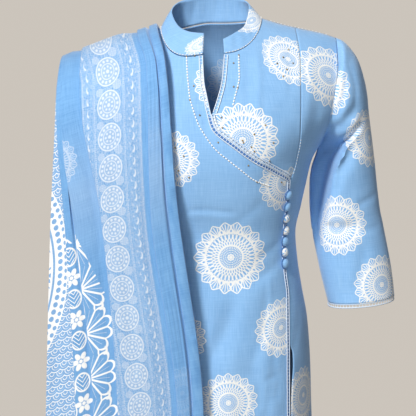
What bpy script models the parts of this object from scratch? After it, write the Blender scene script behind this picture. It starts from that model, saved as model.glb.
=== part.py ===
# Salwar kameez suit: kameez, salwar and pleated dupatta, kept in the form they have when worn.
# Metres, +Z up. The wearer faces -Y, so the wearer's left is +X. z = 0 is the level of the shoulders.
import math

import bmesh
import bpy
from mathutils import Matrix, Vector

# ---- driving dimensions -------------------------------------------------------------------------
SEAM = 0.0003            # gap left between two sewn pieces
KAMEEZ_WALL = 0.0012
COLLAR_WALL = 0.0016
SALWAR_WALL = 0.0011
DUPATTA_WALL = 0.0010
TRIM_WALL = 0.0006
KAMEEZ_LENGTH = 1.10     # shoulder level to hem
ARMHOLE_DROP = 0.165     # shoulder level to armpit
NECK_HALF = 0.070        # half width of the neckline where it meets the shoulder seam
NECK_FRONT_DROP = 0.048
NECK_BACK_DROP = 0.009
RIGHT_SHOULDER_DROP = 0.010
RIGHT_SHOULDER_SLOPE = 0.055
SHOULDER_ROUND_FRONT = 0.100
SHOULDER_ROUND_BACK = 0.085
GIRTH_POWER = 2.6        # how square the body sections are
LACE_WIDTH = 0.0055
BUTTON_DIAMETER = 0.0125
BUTTON_RISE = 0.0050
SALWAR_TOP = -0.365
SALWAR_BELT_BOTTOM = -0.560
SALWAR_ANKLE = -1.385
DUPATTA_DROP_FRONT = 1.12
DUPATTA_DROP_BACK = 1.10
DUPATTA_ROUND = 0.080    # height over which the dupatta curves over the shoulder

# ---- body of the kameez: level, half width, front depth, back depth ------------------------------
TORSO = (
    # z,      half width, front, back
    (0.040, 0.196, 0.066, 0.060),
    (0.000, 0.196, 0.074, 0.072),
    (-0.040, 0.196, 0.083, 0.083),
    (-0.080, 0.192, 0.098, 0.091),
    (-0.120, 0.181, 0.112, 0.096),
    (-0.150, 0.163, 0.118, 0.098),
    (-0.165, 0.1546, 0.119, 0.098),
    (-0.186, 0.1432, 0.118, 0.096),
    (-0.223, 0.1345, 0.111, 0.089),
    (-0.251, 0.1285, 0.103, 0.083),
    (-0.291, 0.1208, 0.092, 0.078),
    (-0.331, 0.1241, 0.091, 0.083),
    (-0.370, 0.1304, 0.094, 0.092),
    (-0.416, 0.1387, 0.099, 0.102),
    (-0.473, 0.1433, 0.105, 0.112),
    (-0.560, 0.1465, 0.110, 0.119),
    (-0.700, 0.1550, 0.113, 0.122),
    (-0.900, 0.1690, 0.117, 0.126),
    (-1.110, 0.1860, 0.122, 0.131),
)
# Shoulder line: distance from the centre, height of the seam on the wearer's left.
SHOULDER = (
    (-0.010, 0.0330),
    (0.030, 0.0250),
    (0.070, 0.0127),
    (0.097, 0.0045),
    (0.130, -0.0030),
    (0.159, -0.0095),
    (0.176, -0.0152),
    (0.240, -0.0400),
)
ARMHOLE = (
    # level, distance from the centre
    (0.000, 0.1755),
    (-0.040, 0.1765),
    (-0.080, 0.1715),
    (-0.120, 0.1650),
    (-0.150, 0.1580),
    (-0.165, 0.1546),
    (-0.200, 0.1400),
)
# Free edge of the wide front panel: down the neck slit, across the chest, then down to the hem.
MAIN_EDGE = (
    # level, x
    (0.000, -0.0110),
    (-0.040, -0.0092),
    (-0.070, -0.0051),
    (-0.105, 0.0003),
    (-0.126, 0.0050),
    (-0.159, 0.0385),
    (-0.176, 0.0622),
    (-0.190, 0.0862),
    (-0.208, 0.1085),
    (-0.240, 0.1070),
    (-0.276, 0.1035),
    (-0.305, 0.1025),
    (-0.340, 0.1050),
    (-0.374, 0.1090),
    (-0.425, 0.1095),
    (-0.536, 0.1105),
    (-0.800, 0.1200),
    (-1.110, 0.1340),
)
SLIT_LEFT_EDGE = (
    (0.000, 0.0175),
    (-0.040, 0.0142),
    (-0.070, 0.0088),
    (-0.105, 0.0009),
)
PRINCESS_SEAM = (
    (0.000, 0.1180),
    (-0.045, 0.1228),
    (-0.090, 0.1226),
    (-0.145, 0.1218),
    (-0.185, 0.1160),
    (-0.208, 0.1095),
)
# How far the side panel stands away from the front edge once the slit has opened.
SLIT_OPENING = (
    (-0.400, 0.0000),
    (-0.440, 0.0008),
    (-0.455, 0.0080),
    (-0.480, 0.0100),
    (-0.520, 0.0060),
    (-0.620, 0.0100),
    (-0.800, 0.0180),
    (-1.110, 0.0300),
)
# Broad soft folds: start x, z, end x, z, half width across, depth inwards, which face.
KAMEEZ_FOLDS = (
    ("bust to side", 0.118, -0.150, 0.080, -0.215, 0.018, 0.0030, "front"),
    ("waist pull left", 0.090, -0.300, 0.030, -0.365, 0.020, 0.0030, "front"),
    ("lap left", 0.020, -0.395, 0.075, -0.560, 0.026, 0.0045, "front"),
    ("lap centre", -0.005, -0.400, -0.030, -0.640, 0.026, 0.0050, "front"),
    ("skirt left", 0.060, -0.640, 0.085, -1.120, 0.034, 0.0090, "front"),
    ("skirt centre", 0.000, -0.600, -0.005, -1.120, 0.036, 0.0100, "front"),
    ("skirt right", -0.080, -0.620, -0.100, -1.120, 0.034, 0.0090, "front"),
    ("back waist left", 0.070, -0.270, 0.020, -0.330, 0.022, 0.0035, "back"),
    ("back waist right", -0.075, -0.285, -0.015, -0.345, 0.024, 0.0040, "back"),
    ("back skirt left", 0.055, -0.560, 0.080, -1.120, 0.034, 0.0095, "back"),
    ("back skirt centre", -0.010, -0.590, -0.020, -1.120, 0.036, 0.0105, "back"),
    ("back skirt right", -0.085, -0.550, -0.105, -1.120, 0.032, 0.0090, "back"),
)
# Sleeves: outer line x, z; under line x, z; front depth, back depth, centre y, outward bow.
SLEEVE_LEFT = (
    ("cap", 0.1850, -0.0190, 0.1545, -0.1700, 0.053, 0.052, 0.000, 0.0052),
    ("cap", 0.1950, -0.0285, 0.1515, -0.1790, 0.053, 0.052, 0.000, 0.0070),
    ("cap", 0.2065, -0.0450, 0.1485, -0.1880, 0.055, 0.053, 0.000, 0.0060),
    ("cap", 0.2155, -0.0710, 0.1465, -0.1970, 0.056, 0.054, 0.001, 0.0045),
    ("upper arm", 0.2205, -0.0940, 0.1452, -0.2080, 0.056, 0.054, 0.002, 0.0030),
    ("upper arm", 0.2235, -0.1200, 0.1440, -0.2200, 0.055, 0.053, 0.003, 0.0015),
    ("upper arm", 0.2322, -0.1830, 0.1436, -0.2510, 0.052, 0.051, 0.005, 0.0000),
    ("upper arm", 0.2368, -0.2230, 0.1440, -0.2740, 0.050, 0.050, 0.005, 0.0000),
    ("elbow", 0.2415, -0.2580, 0.1446, -0.2960, 0.048, 0.050, 0.004, 0.0000),
    ("elbow", 0.2455, -0.2770, 0.1470, -0.3080, 0.047, 0.049, 0.002, 0.0000),
    ("forearm", 0.2560, -0.3300, 0.1560, -0.3440, 0.046, 0.047, -0.004, 0.0000),
    ("forearm", 0.2600, -0.3560, 0.1618, -0.3680, 0.045, 0.046, -0.007, 0.0000),
    ("cuff", 0.2625, -0.3800, 0.1676, -0.3900, 0.044, 0.045, -0.010, 0.0000),
)
SLEEVE_RIGHT = (
    ("cap", -0.1830, -0.0385, -0.1545, -0.1705, 0.050, 0.050, 0.000, 0.0060),
    ("cap", -0.1895, -0.0455, -0.1515, -0.1800, 0.047, 0.049, 0.001, 0.0070),
    ("cap", -0.1965, -0.0590, -0.1485, -0.1900, 0.047, 0.050, 0.003, 0.0060),
    ("cap", -0.2015, -0.0810, -0.1465, -0.2000, 0.047, 0.051, 0.005, 0.0045),
    ("upper arm", -0.2045, -0.1010, -0.1450, -0.2120, 0.047, 0.052, 0.007, 0.0030),
    ("upper arm", -0.2060, -0.1280, -0.1438, -0.2250, 0.047, 0.052, 0.009, 0.0015),
    ("upper arm", -0.2072, -0.1930, -0.1424, -0.2600, 0.047, 0.052, 0.011, 0.0000),
    ("upper arm", -0.2075, -0.2330, -0.1422, -0.2850, 0.047, 0.052, 0.011, 0.0000),
    ("elbow", -0.2080, -0.2690, -0.1424, -0.3070, 0.047, 0.052, 0.010, 0.0000),
    ("elbow", -0.2085, -0.2880, -0.1428, -0.3190, 0.047, 0.051, 0.008, 0.0000),
    ("forearm", -0.2100, -0.3410, -0.1440, -0.3560, 0.046, 0.049, 0.002, 0.0000),
    ("forearm", -0.2108, -0.3670, -0.1448, -0.3780, 0.045, 0.048, -0.001, 0.0000),
    ("cuff", -0.2115, -0.3920, -0.1455, -0.4010, 0.044, 0.047, -0.004, 0.0000),
)
SLEEVE_FOLDS = (
    ("armpit drag", 0.205, -0.105, 0.158, -0.158, 0.011, 0.0045, "front"),
    ("long drag", 0.222, -0.118, 0.190, -0.195, 0.010, 0.0030, "front"),
    ("elbow crease", 0.146, -0.292, 0.200, -0.275, 0.010, 0.0035, "front"),
    ("back drag", 0.210, -0.130, 0.165, -0.190, 0.013, 0.0040, "back"),
    ("back elbow", 0.150, -0.300, 0.215, -0.285, 0.011, 0.0035, "back"),
    ("right armpit drag", -0.195, -0.110, -0.160, -0.170, 0.011, 0.0035, "front"),
    ("right back drag", -0.198, -0.125, -0.162, -0.190, 0.012, 0.0040, "back"),
)
# Collar band: bottom edge on the neckline is worked out; this is how the top edge stands.
COLLAR = (
    # turn round the neck from the centre front in degrees, top x, top y, top z
    ("right front end", -9.0, -0.0100, -0.0660, -0.0068),
    ("right front", -28.0, -0.0285, -0.0595, -0.0050),
    ("right corner", -55.0, -0.0455, -0.0400, 0.0030),
    ("right side", -90.0, -0.0556, -0.0010, 0.0230),
    ("right back", -135.0, -0.0430, 0.0330, 0.0360),
    ("back", -180.0, 0.0000, 0.0470, 0.0420),
    ("left back", -225.0, 0.0425, 0.0330, 0.0390),
    ("left side", -270.0, 0.0535, -0.0010, 0.0305),
    ("left corner", -305.0, 0.0465, -0.0400, 0.0040),
    ("left front", -332.0, 0.0295, -0.0590, -0.0080),
    ("left front end", -345.5, 0.0163, -0.0660, -0.0147),
)
BUTTONS = (
    # level, x, height of the seat over the panel, which its curve asks for
    (-0.2280, 0.1085, 0.0017),
    (-0.2450, 0.1070, 0.0018),
    (-0.2620, 0.1058, 0.0017),
    (-0.2800, 0.1047, 0.0029),
    (-0.2960, 0.1038, 0.0025),
    (-0.3115, 0.1040, 0.0021),
    (-0.3275, 0.1050, 0.0020),
)
# Salwar legs: level, how far the two legs have parted (0 = one hip ring, 1 = two tubes),
# half width of the leg ring, front depth, back depth, centre y, gather height.
LEG = (
    (-0.5609, 0.000, 0.1325, 0.092, 0.101, 0.000, 0.0000),
    (-0.600, 0.120, 0.1240, 0.086, 0.095, 0.000, 0.0025),
    (-0.650, 0.400, 0.1030, 0.081, 0.090, 0.000, 0.0030),
    (-0.690, 0.750, 0.0820, 0.077, 0.084, 0.001, 0.0025),
    (-0.720, 1.000, 0.0718, 0.073, 0.081, 0.002, 0.0020),
    (-0.840, 1.000, 0.0730, 0.074, 0.081, 0.003, 0.0040),
    (-0.970, 1.000, 0.0760, 0.077, 0.083, 0.005, 0.0050),
    (-1.090, 1.000, 0.0800, 0.078, 0.084, 0.008, 0.0060),
    (-1.190, 1.000, 0.0780, 0.075, 0.082, 0.011, 0.0070),
    (-1.280, 1.000, 0.0670, 0.066, 0.073, 0.014, 0.0065),
    (-1.3447, 1.000, 0.0560, 0.056, 0.063, 0.015, 0.0000),
)
# Dupatta, across its width: x where it crosses the shoulder, at the collar bone, the chest, the
# hip and the hem. Each pleat starts under the one before it, comes out past that one's fold,
# runs to its own fold and goes back under itself to where the next one starts.
DUPATTA_PLEATS = (
    ("inner selvage", -0.1250, -0.1150, -0.1050, -0.0850, -0.0900),
    ("inner edge", -0.0750, -0.0570, -0.0400, -0.0090, 0.0040),
    ("narrow fold", -0.0840, -0.0660, -0.0530, -0.0215, -0.0100),
    ("narrow turn", -0.0780, -0.0600, -0.0440, -0.0130, 0.0000),
    ("plain fold", -0.1010, -0.0830, -0.0780, -0.0430, -0.0340),
    ("plain turn", -0.0925, -0.0740, -0.0620, -0.0310, -0.0200),
    ("border fold", -0.1775, -0.1760, -0.1460, -0.1255, -0.1200),
    ("border turn", -0.1250, -0.1200, -0.1000, -0.0780, -0.0750),
    ("second fold", -0.1930, -0.1930, -0.1810, -0.1570, -0.1570),
    ("second turn", -0.1860, -0.1850, -0.1620, -0.1400, -0.1400),
    ("third fold", -0.2040, -0.2050, -0.1945, -0.1820, -0.1900),
    ("third turn", -0.1995, -0.1998, -0.1890, -0.1690, -0.1720),
    ("outer fold", -0.2090, -0.2140, -0.2200, -0.2290, -0.2400),
    ("outer selvage", -0.1350, -0.1300, -0.1240, -0.1050, -0.1100),
)
# Base sheet the dupatta lies on: level, depth at the inner edge, depth at the outer edge.
DUPATTA_FRONT = (
    (0.030, 0.084, 0.066),
    (-0.040, 0.096, 0.070),
    (-0.080, 0.110, 0.075),
    (-0.125, 0.122, 0.080),
    (-0.170, 0.128, 0.083),
    (-0.300, 0.129, 0.086),
    (-0.560, 0.133, 0.092),
    (-1.130, 0.144, 0.104),
)
DUPATTA_BACK = (
    (0.030, 0.082, 0.078),
    (-0.040, 0.094, 0.082),
    (-0.080, 0.101, 0.086),
    (-0.125, 0.105, 0.090),
    (-0.170, 0.108, 0.092),
    (-0.300, 0.112, 0.095),
    (-0.560, 0.132, 0.106),
    (-1.130, 0.146, 0.120),
)


# ---- helpers --------------------------------------------------------------------------------------
def read(table, key, column=1, first=0):
    """Smooth curve through one column of a table, whose first column rises or falls."""
    keys = [row[first] for row in table]
    values = [row[column] for row in table]
    if keys[0] > keys[-1]:
        keys, values = keys[::-1], values[::-1]
    if key <= keys[0]:
        return values[0]
    if key >= keys[-1]:
        return values[-1]
    i = max(k for k in range(len(keys) - 1) if keys[k] <= key)

    def slope(k):
        lo, hi = max(k - 1, 0), min(k + 1, len(keys) - 1)
        rise = [(values[j + 1] - values[j]) / (keys[j + 1] - keys[j]) for j in range(lo, hi)]
        if len(rise) == 2:
            if rise[0] * rise[1] <= 0:
                return 0.0
            return 2 * rise[0] * rise[1] / (rise[0] + rise[1])
        return rise[0]

    span = keys[i + 1] - keys[i]
    t = (key - keys[i]) / span
    h00, h10 = (1 + 2 * t) * (1 - t) ** 2, t * (1 - t) ** 2
    h01, h11 = t * t * (3 - 2 * t), t * t * (t - 1)
    return (h00 * values[i] + h10 * span * slope(i)
            + h01 * values[i + 1] + h11 * span * slope(i + 1))


def ease(t):
    t = min(max(t, 0.0), 1.0)
    return t * t * (3 - 2 * t)


def spread(start, end, count):
    return [start + (end - start) * i / (count - 1) for i in range(count)]


def material(name, colour, roughness):
    mat = bpy.data.materials.new(name)
    mat.use_nodes = True
    shader = mat.node_tree.nodes["Principled BSDF"]
    shader.inputs["Base Color"].default_value = (*colour, 1.0)
    shader.inputs["Roughness"].default_value = roughness
    return mat


def finish(name, mesh, mat):
    bmesh.ops.recalc_face_normals(mesh, faces=mesh.faces)
    data = bpy.data.meshes.new(name)
    mesh.to_mesh(data)
    mesh.free()
    data.materials.append(mat)
    data.shade_smooth()
    data.set_sharp_from_angle(angle=math.radians(40))
    obj = bpy.data.objects.new(name, data)
    bpy.context.scene.collection.objects.link(obj)
    return obj


def wall(name, outside, inside, mat, closed=False):
    """Closed wall between two grids of points [row][column]; a closed ring joins its ends."""
    rows, cols = len(outside), len(outside[0])
    spans = cols if closed else cols - 1
    mesh = bmesh.new()
    bmesh.ops.create_grid(mesh, x_segments=spans, y_segments=rows - 1, size=1.0)
    for vert in mesh.verts:
        vert.co.x = round((vert.co.x + 1) / 2 * spans)
        vert.co.y = round((vert.co.y + 1) / 2 * (rows - 1))
    made = bmesh.ops.extrude_face_region(mesh, geom=mesh.faces[:], use_keep_orig=True)
    for item in made["geom"]:
        if isinstance(item, bmesh.types.BMVert):
            item.co.z = 1.0
    if closed:
        ends = [f for f in mesh.faces if len({v.co.x for v in f.verts}) == 1
                and f.verts[0].co.x in (0, spans)]
        bmesh.ops.delete(mesh, geom=ends, context="FACES_ONLY")
    for vert in mesh.verts:
        side = inside if vert.co.z > 0.5 else outside
        vert.co = side[int(vert.co.y)][int(vert.co.x) % cols]
    bmesh.ops.remove_doubles(mesh, verts=mesh.verts[:], dist=1e-7)
    return finish(name, mesh, mat)


def skin(name, surface, us, vs, thickness, mat, lift=0.0, closed=False):
    """Wall on a surface(u, v): rows follow v, columns follow u, thickness goes inwards."""
    outside, inside = [], []
    for v in vs:
        out_row, in_row = [], []
        for u in us:
            point, normal = surface(u, v)
            out_row.append(point + normal * lift)
            in_row.append(point + normal * (lift - thickness))
        outside.append(out_row)
        inside.append(in_row)
    return wall(name, outside, inside, mat, closed)


def fold_depth(folds, x, z, face):
    """How far the broad folds press the cloth in at this place."""
    total = 0.0
    for _name, x0, z0, x1, z1, half, depth, where in folds:
        if where != face:
            continue
        dx, dz = x1 - x0, z1 - z0
        length = math.hypot(dx, dz)
        along = ((x - x0) * dx + (z - z0) * dz) / (length * length)
        ends = ease((along + 0.15) / 0.35) * ease((1.25 - along) / 0.35)
        across = ((x - x0) * dz - (z - z0) * dx) / length
        total += depth * ends * math.exp(-(across / half) ** 2)
    return total


# ---- surface of the kameez ------------------------------------------------------------------------
def shoulder_height(x):
    """The right shoulder hangs a little lower, under the weight of the dupatta."""
    lower = ease(-x / NECK_HALF) * (RIGHT_SHOULDER_DROP + RIGHT_SHOULDER_SLOPE * abs(x))
    return read(SHOULDER, abs(x)) - lower


def top_edge(x, face):
    """Top edge of a panel: the shoulder seam outside the neck, the neckline inside it."""
    if abs(x) >= NECK_HALF:
        return shoulder_height(x)
    drop = NECK_FRONT_DROP if face == "front" else NECK_BACK_DROP
    left, right = shoulder_height(NECK_HALF), shoulder_height(-NECK_HALF)
    corner = right + (left - right) * ease((x + NECK_HALF) / NECK_HALF)
    return corner - drop * (1 - (abs(x) / NECK_HALF) ** 3) ** 0.6


def kameez_point(x, level, face):
    half = read(TORSO, level, 1)
    fade = 1 - ease(-level / ARMHOLE_DROP)
    z = level + top_edge(x, face) * fade
    column, radius = (2, SHOULDER_ROUND_FRONT) if face == "front" else (3, SHOULDER_ROUND_BACK)
    ratio = min(abs(x) / half, 1.0)
    girth = math.sqrt(max(1 - ratio ** GIRTH_POWER, 0.0))
    below = min(max(shoulder_height(x) - z, 0.0) / radius, 1.0)
    rounding = math.sqrt(max(1 - (1 - below) ** 2, 0.0))
    depth = read(TORSO, z, column) * girth * rounding
    depth -= fold_depth(KAMEEZ_FOLDS, x, z, face) * min(depth / 0.05, 1.0)
    y = depth + SEAM / 2
    return Vector((x, -y if face == "front" else y, z))


def kameez_surface(face, left_of, right_of):
    """surface(u, level) of a panel whose edges are x = left_of(level) and right_of(level)."""
    def place(u, level):
        half = read(TORSO, level, 1)
        lo = math.asin(min(max(left_of(level) / half, -1.0), 1.0))
        hi = math.asin(min(max(right_of(level) / half, -1.0), 1.0))
        return kameez_point(half * math.sin(lo + (hi - lo) * u), level, face)

    def surface(u, level):
        du = 0.004 if u < 0.5 else -0.004
        dv = -0.0015
        here = place(u, level)
        across = (place(u + du, level) - here) / du
        down = (place(u, level + dv) - here) / dv
        normal = across.cross(down)
        if normal.length < 1e-9:
            normal = Vector((math.copysign(1, here.x), 0, 0))
        normal.normalize()
        if abs(here.y) < 0.0005:
            normal.y = 0.0
            normal.normalize()
        wanted = Vector((here.x * 0.4, -0.2 if face == "front" else 0.2, 0.05))
        if normal.dot(wanted) < 0:
            normal.negate()
        return here, normal
    return surface


def side_x(level):
    return read(ARMHOLE, level) if level > -ARMHOLE_DROP else read(TORSO, level, 1)


def main_edge(level):
    return read(MAIN_EDGE, level)


def side_panel_start(level):
    if level > -0.208:
        return read(PRINCESS_SEAM, level) + 2 * SEAM
    return main_edge(level) + 2 * SEAM + read(SLIT_OPENING, level)


def yoke_start(level):
    if level > -0.105:
        return read(SLIT_LEFT_EDGE, level)
    return main_edge(level) + 2 * SEAM


LEVELS_TOP = [0.0, -0.004, -0.012, -0.024, -0.040, -0.060, -0.083, -0.105, -0.124, -0.140,
              -0.152, -0.160, -ARMHOLE_DROP]
LEVELS_LOW = [-0.180, -0.194, -0.208, -0.225, -0.245, -0.270, -0.300, -0.335, -0.372, -0.410,
              -0.442, -0.470, -0.520, -0.580, -0.680, -0.800, -0.950, -KAMEEZ_LENGTH]


NECK_COLUMNS = (0.030, 0.045, 0.056, 0.064, NECK_HALF)


def columns(left, right, stations):
    """Shares of a panel's width that land on these distances along its top edge."""
    half = read(TORSO, 0.0, 1)
    lo, hi = math.asin(left / half), math.asin(right / half)
    return [(math.asin(x / half) - lo) / (hi - lo) for x in (left, *stations, right)]


def make_kameez(cloth):
    levels = LEVELS_TOP + LEVELS_LOW
    shoulder = side_x(0.0)
    front = kameez_surface("front", lambda v: -side_x(v), main_edge)
    across = columns(-shoulder, main_edge(0), (-0.164, -0.150, -0.134, -0.118, -0.102, -0.086,
                                               *(-x for x in reversed(NECK_COLUMNS))))
    skin("front_main_panel", front, across, levels, KAMEEZ_WALL, cloth)
    yoke = kameez_surface("front", yoke_start, lambda v: read(PRINCESS_SEAM, v))
    yoke_levels = [v for v in levels if v > -0.2] + [-0.2]
    across = columns(yoke_start(0), read(PRINCESS_SEAM, 0), (*NECK_COLUMNS, 0.085, 0.102))
    skin("left_chest_panel", yoke, across, yoke_levels, KAMEEZ_WALL, cloth)
    side = kameez_surface("front", side_panel_start, side_x)
    skin("left_side_panel", side, spread(0, 1, 6), levels, KAMEEZ_WALL, cloth)
    back = kameez_surface("back", lambda v: -side_x(v), side_x)
    half = (0.025, 0.045, 0.058, 0.066, NECK_HALF, 0.098, 0.130, 0.158)
    across = columns(-shoulder, shoulder, (*(-x for x in reversed(half)), 0.0, *half))
    back_levels = [v for v in levels if v not in (-0.194, -0.225, -0.270, -0.442)]
    skin("back_panel", back, across, back_levels, KAMEEZ_WALL, cloth)


# ---- sleeves --------------------------------------------------------------------------------------
def armhole_point(angle, side):
    """Point of the armhole: 0 at the shoulder, pi at the armpit, round the front first."""
    level = -ARMHOLE_DROP * (1 - math.cos(angle)) / 2
    face = "front" if angle <= math.pi else "back"
    point = kameez_point(side * read(ARMHOLE, level), level, face)
    return point + Vector((side * SEAM * 3, 0, 0))


def sleeve_surface(table, side):
    rows = len(table)

    def rib(angle, row):
        _n, ox, oz, ix, iz, front, back, cy, bow = row
        middle = Vector(((ox + ix) / 2, cy, (oz + iz) / 2))
        reach = Vector(((ox - ix) / 2, 0, (oz - iz) / 2))
        depth = front if angle <= math.pi else back
        turn = math.sin(angle)
        y = -math.copysign(depth * abs(turn) ** 0.85, turn)
        return middle + reach * math.cos(angle) + Vector((side * bow * turn * turn, y, 0))

    def place(angle, v):
        angle %= 2 * math.pi
        if v <= 0:
            return armhole_point(angle, side)
        k = min(int(v), rows)
        t = v - k
        near = armhole_point(angle, side) if k == 0 else rib(angle, table[k - 1])
        far = rib(angle, table[min(k, rows - 1)])
        point = near.lerp(far, t)
        face = "front" if angle <= math.pi else "back"
        press = fold_depth(SLEEVE_FOLDS, point.x, point.z, face) * abs(math.sin(angle))
        return point + Vector((0, press if face == "front" else -press, 0))

    def surface(angle, v):
        here = place(angle, v)
        across = place(angle + 0.01, v) - place(angle - 0.01, v)
        along = place(angle, min(v + 0.5, rows)) - place(angle, max(v - 0.5, 0.0))
        return here, (across.cross(along) * side).normalized()
    return surface


def make_sleeves(cloth):
    half_turn = [math.acos(1 + 2 * level / ARMHOLE_DROP) for level in LEVELS_TOP]
    angles = half_turn + [2 * math.pi - angle for angle in reversed(half_turn[1:-1])]
    for name, table, side in (("sleeve_left", SLEEVE_LEFT, 1), ("sleeve_right", SLEEVE_RIGHT, -1)):
        surface = sleeve_surface(table, side)
        skin(name, surface, angles, range(len(table) + 1), KAMEEZ_WALL, cloth, closed=True)


# ---- collar ---------------------------------------------------------------------------------------
def collar_surface(turn, share):
    """Point of the collar band at a turn round the neck and a share of its height."""
    def place(at, up):
        angle = math.radians(at)
        face = "front" if math.cos(angle) > 0 else "back"
        base = kameez_point(NECK_HALF * math.sin(angle), 0.0, face) + Vector((0, 0, 4 * SEAM))
        top = Vector([read(COLLAR, at, column, 1) for column in (2, 3, 4)])
        return base.lerp(top, up)

    step = 0.5 if turn < -180 else -0.5
    here = place(turn, share)
    across = place(turn + step, share) - here
    normal = Vector((across.y, -across.x, 0)).normalized()
    if normal.dot(Vector((here.x, here.y + 0.010, 0))) < 0:
        normal.negate()
    return here, normal


def make_collar(cloth):
    turns = spread(COLLAR[0][1], COLLAR[-1][1], 37)
    skin("collar", collar_surface, turns, (0.0, 0.5, 1.0), COLLAR_WALL, cloth)


# ---- buttons --------------------------------------------------------------------------------------
def make_buttons(cloth):
    """Domed buttons with a flat underside, seated on the edge of the side panel."""
    surface = kameez_surface("front", side_panel_start, side_x)
    for number, (level, x, lift) in enumerate(BUTTONS, 1):
        _edge, normal = surface(0.05, level)
        seat = kameez_point(x, level, "front") + normal * lift
        mesh = bmesh.new()
        bmesh.ops.create_uvsphere(mesh, u_segments=10, v_segments=6, radius=1.0)
        for vert in mesh.verts:
            if vert.co.z < 0:
                vert.co.z *= 0.06
        size = Matrix.Diagonal((BUTTON_DIAMETER / 2, BUTTON_DIAMETER / 2, BUTTON_RISE, 1))
        place = Matrix.Translation(seat) @ normal.to_track_quat("Z", "Y").to_matrix().to_4x4()
        bmesh.ops.transform(mesh, matrix=place @ size, verts=mesh.verts)
        finish(f"button_{number}", mesh, cloth)


# ---- lace edging ----------------------------------------------------------------------------------
def edge_lace(name, edge, side, levels, mat):
    """Flat lace laid along a front edge; side says which way it reaches from the edge."""
    def surface(share, level):
        x = edge(level) + side * (0.0003 + share * LACE_WIDTH)
        here = kameez_point(x, level, "front")
        across = kameez_point(x + 0.001, level, "front") - here
        down = kameez_point(x, level - 0.001, "front") - here
        normal = across.cross(down).normalized()
        return here, normal if normal.y < 0 else -normal
    skin(name, surface, (0.0, 1.0), levels, TRIM_WALL, mat, lift=TRIM_WALL + 2 * SEAM)


def cuff_lace(name, table, side, angles, mat):
    """Lace ring that carries on below the sleeve edge."""
    surface = sleeve_surface(table, side)
    rows = len(table)

    def lower(angle, drop):
        edge, normal = surface(angle, rows)
        above, _ = surface(angle, rows - 1)
        return edge + (edge - above).normalized() * drop, normal
    skin(name, lower, angles, (SEAM, SEAM + LACE_WIDTH), TRIM_WALL, mat, lift=-0.0003, closed=True)


def make_lace(mat):
    levels = [v for v in LEVELS_TOP + LEVELS_LOW if v not in (-0.004, -0.012)]
    edge_lace("lace_front_edge", main_edge, -1, levels, mat)
    slit = [v for v in levels if v > -0.1] + [-0.1]
    edge_lace("lace_neck_slit", yoke_start, 1, slit, mat)
    angles = [2 * math.pi * i / 24 for i in range(24)]
    cuff_lace("lace_cuff_left", SLEEVE_LEFT, 1, angles, mat)
    cuff_lace("lace_cuff_right", SLEEVE_RIGHT, -1, angles, mat)


# ---- salwar ---------------------------------------------------------------------------------------
def belt_surface(angle, level):
    """Hip band of the salwar: just inside the kameez at the waist, freer lower down."""
    slack = KAMEEZ_WALL + SEAM + 0.0003 + 0.012 * ease((SALWAR_TOP - level) / 0.06)
    half = read(TORSO, level, 1) - slack
    front = read(TORSO, level, 2) - slack - 0.004
    back = read(TORSO, level, 3) - slack - 0.004
    ratio = abs(math.cos(angle))
    girth = math.sqrt(max(1 - ratio ** GIRTH_POWER, 0.0))
    y = girth * (back if math.sin(angle) > 0 else -front)
    point = Vector((half * math.cos(angle), y, level))
    return point, Vector((math.cos(angle) / half, math.sin(angle) / back, 0)).normalized()


def leg_surface(side):
    def place(u, level):
        parted, half, front, back, cy, gather = (read(LEG, level, c) for c in range(1, 7))
        centre = half * parted
        limit = math.acos(max(-(centre - 0.0006) / half, -1.0)) if parted < 1 else math.pi - 0.004
        angle = -limit + 2 * limit * u
        ripple = gather * math.sin(9 * angle + 0.6 * math.sin(angle)) * math.cos(angle / 2)
        reach = 1 + ripple / half
        x = max(centre + 0.0006 + half * math.cos(angle) * reach, 0.0005)
        power = GIRTH_POWER + (2 - GIRTH_POWER) * parted
        girth = math.sqrt(max(1 - abs(math.cos(angle)) ** power, 0.0))
        y = girth * reach * (back if math.sin(angle) > 0 else -front)
        return Vector((side * x, cy + y, level))

    def surface(u, level):
        here = place(u, level)
        du = 0.004 if u < 0.5 else -0.004
        across = (place(u + du, level) - here) / du
        normal = Vector((across.y, -across.x, 0)).normalized()
        parted, half = read(LEG, level, 1), read(LEG, level, 2)
        if normal.dot(here - Vector((side * half * parted, 0, level))) < 0:
            normal.negate()
        return here, normal
    return surface


def ankle_surface(side):
    row = LEG[-1]

    def surface(angle, level):
        half, front, back, cy = row[2] - 0.0005, row[3], row[4], row[5]
        depth = back if math.sin(angle) > 0 else front
        lower = 0.0015 * (LEG[-1][0] - level) / 0.04
        here = Vector((side * (half + 0.0011 + (half - lower) * math.cos(angle)),
                       cy + (depth - lower) * math.sin(angle), level))
        normal = Vector((side * math.cos(angle) / half, math.sin(angle) / depth, 0)).normalized()
        return here, normal
    return surface


def make_salwar(cloth):
    angles = [2 * math.pi * i / 24 for i in range(24)]
    belt_levels = (SALWAR_TOP, -0.39, -0.43, -0.49, SALWAR_BELT_BOTTOM)
    skin("salwar_hip_band", belt_surface, angles, belt_levels, SALWAR_WALL, cloth, closed=True)
    levels = [row[0] for row in LEG]
    for word, side in (("left", 1), ("right", -1)):
        skin(f"salwar_leg_{word}", leg_surface(side), spread(0, 1, 29), levels, SALWAR_WALL, cloth)
        bottom = (LEG[-1][0] - SEAM, LEG[-1][0] - 0.02, SALWAR_ANKLE)
        skin(f"salwar_cuff_{word}", ankle_surface(side), angles, bottom, SALWAR_WALL * 1.6, cloth,
             closed=True)


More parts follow.
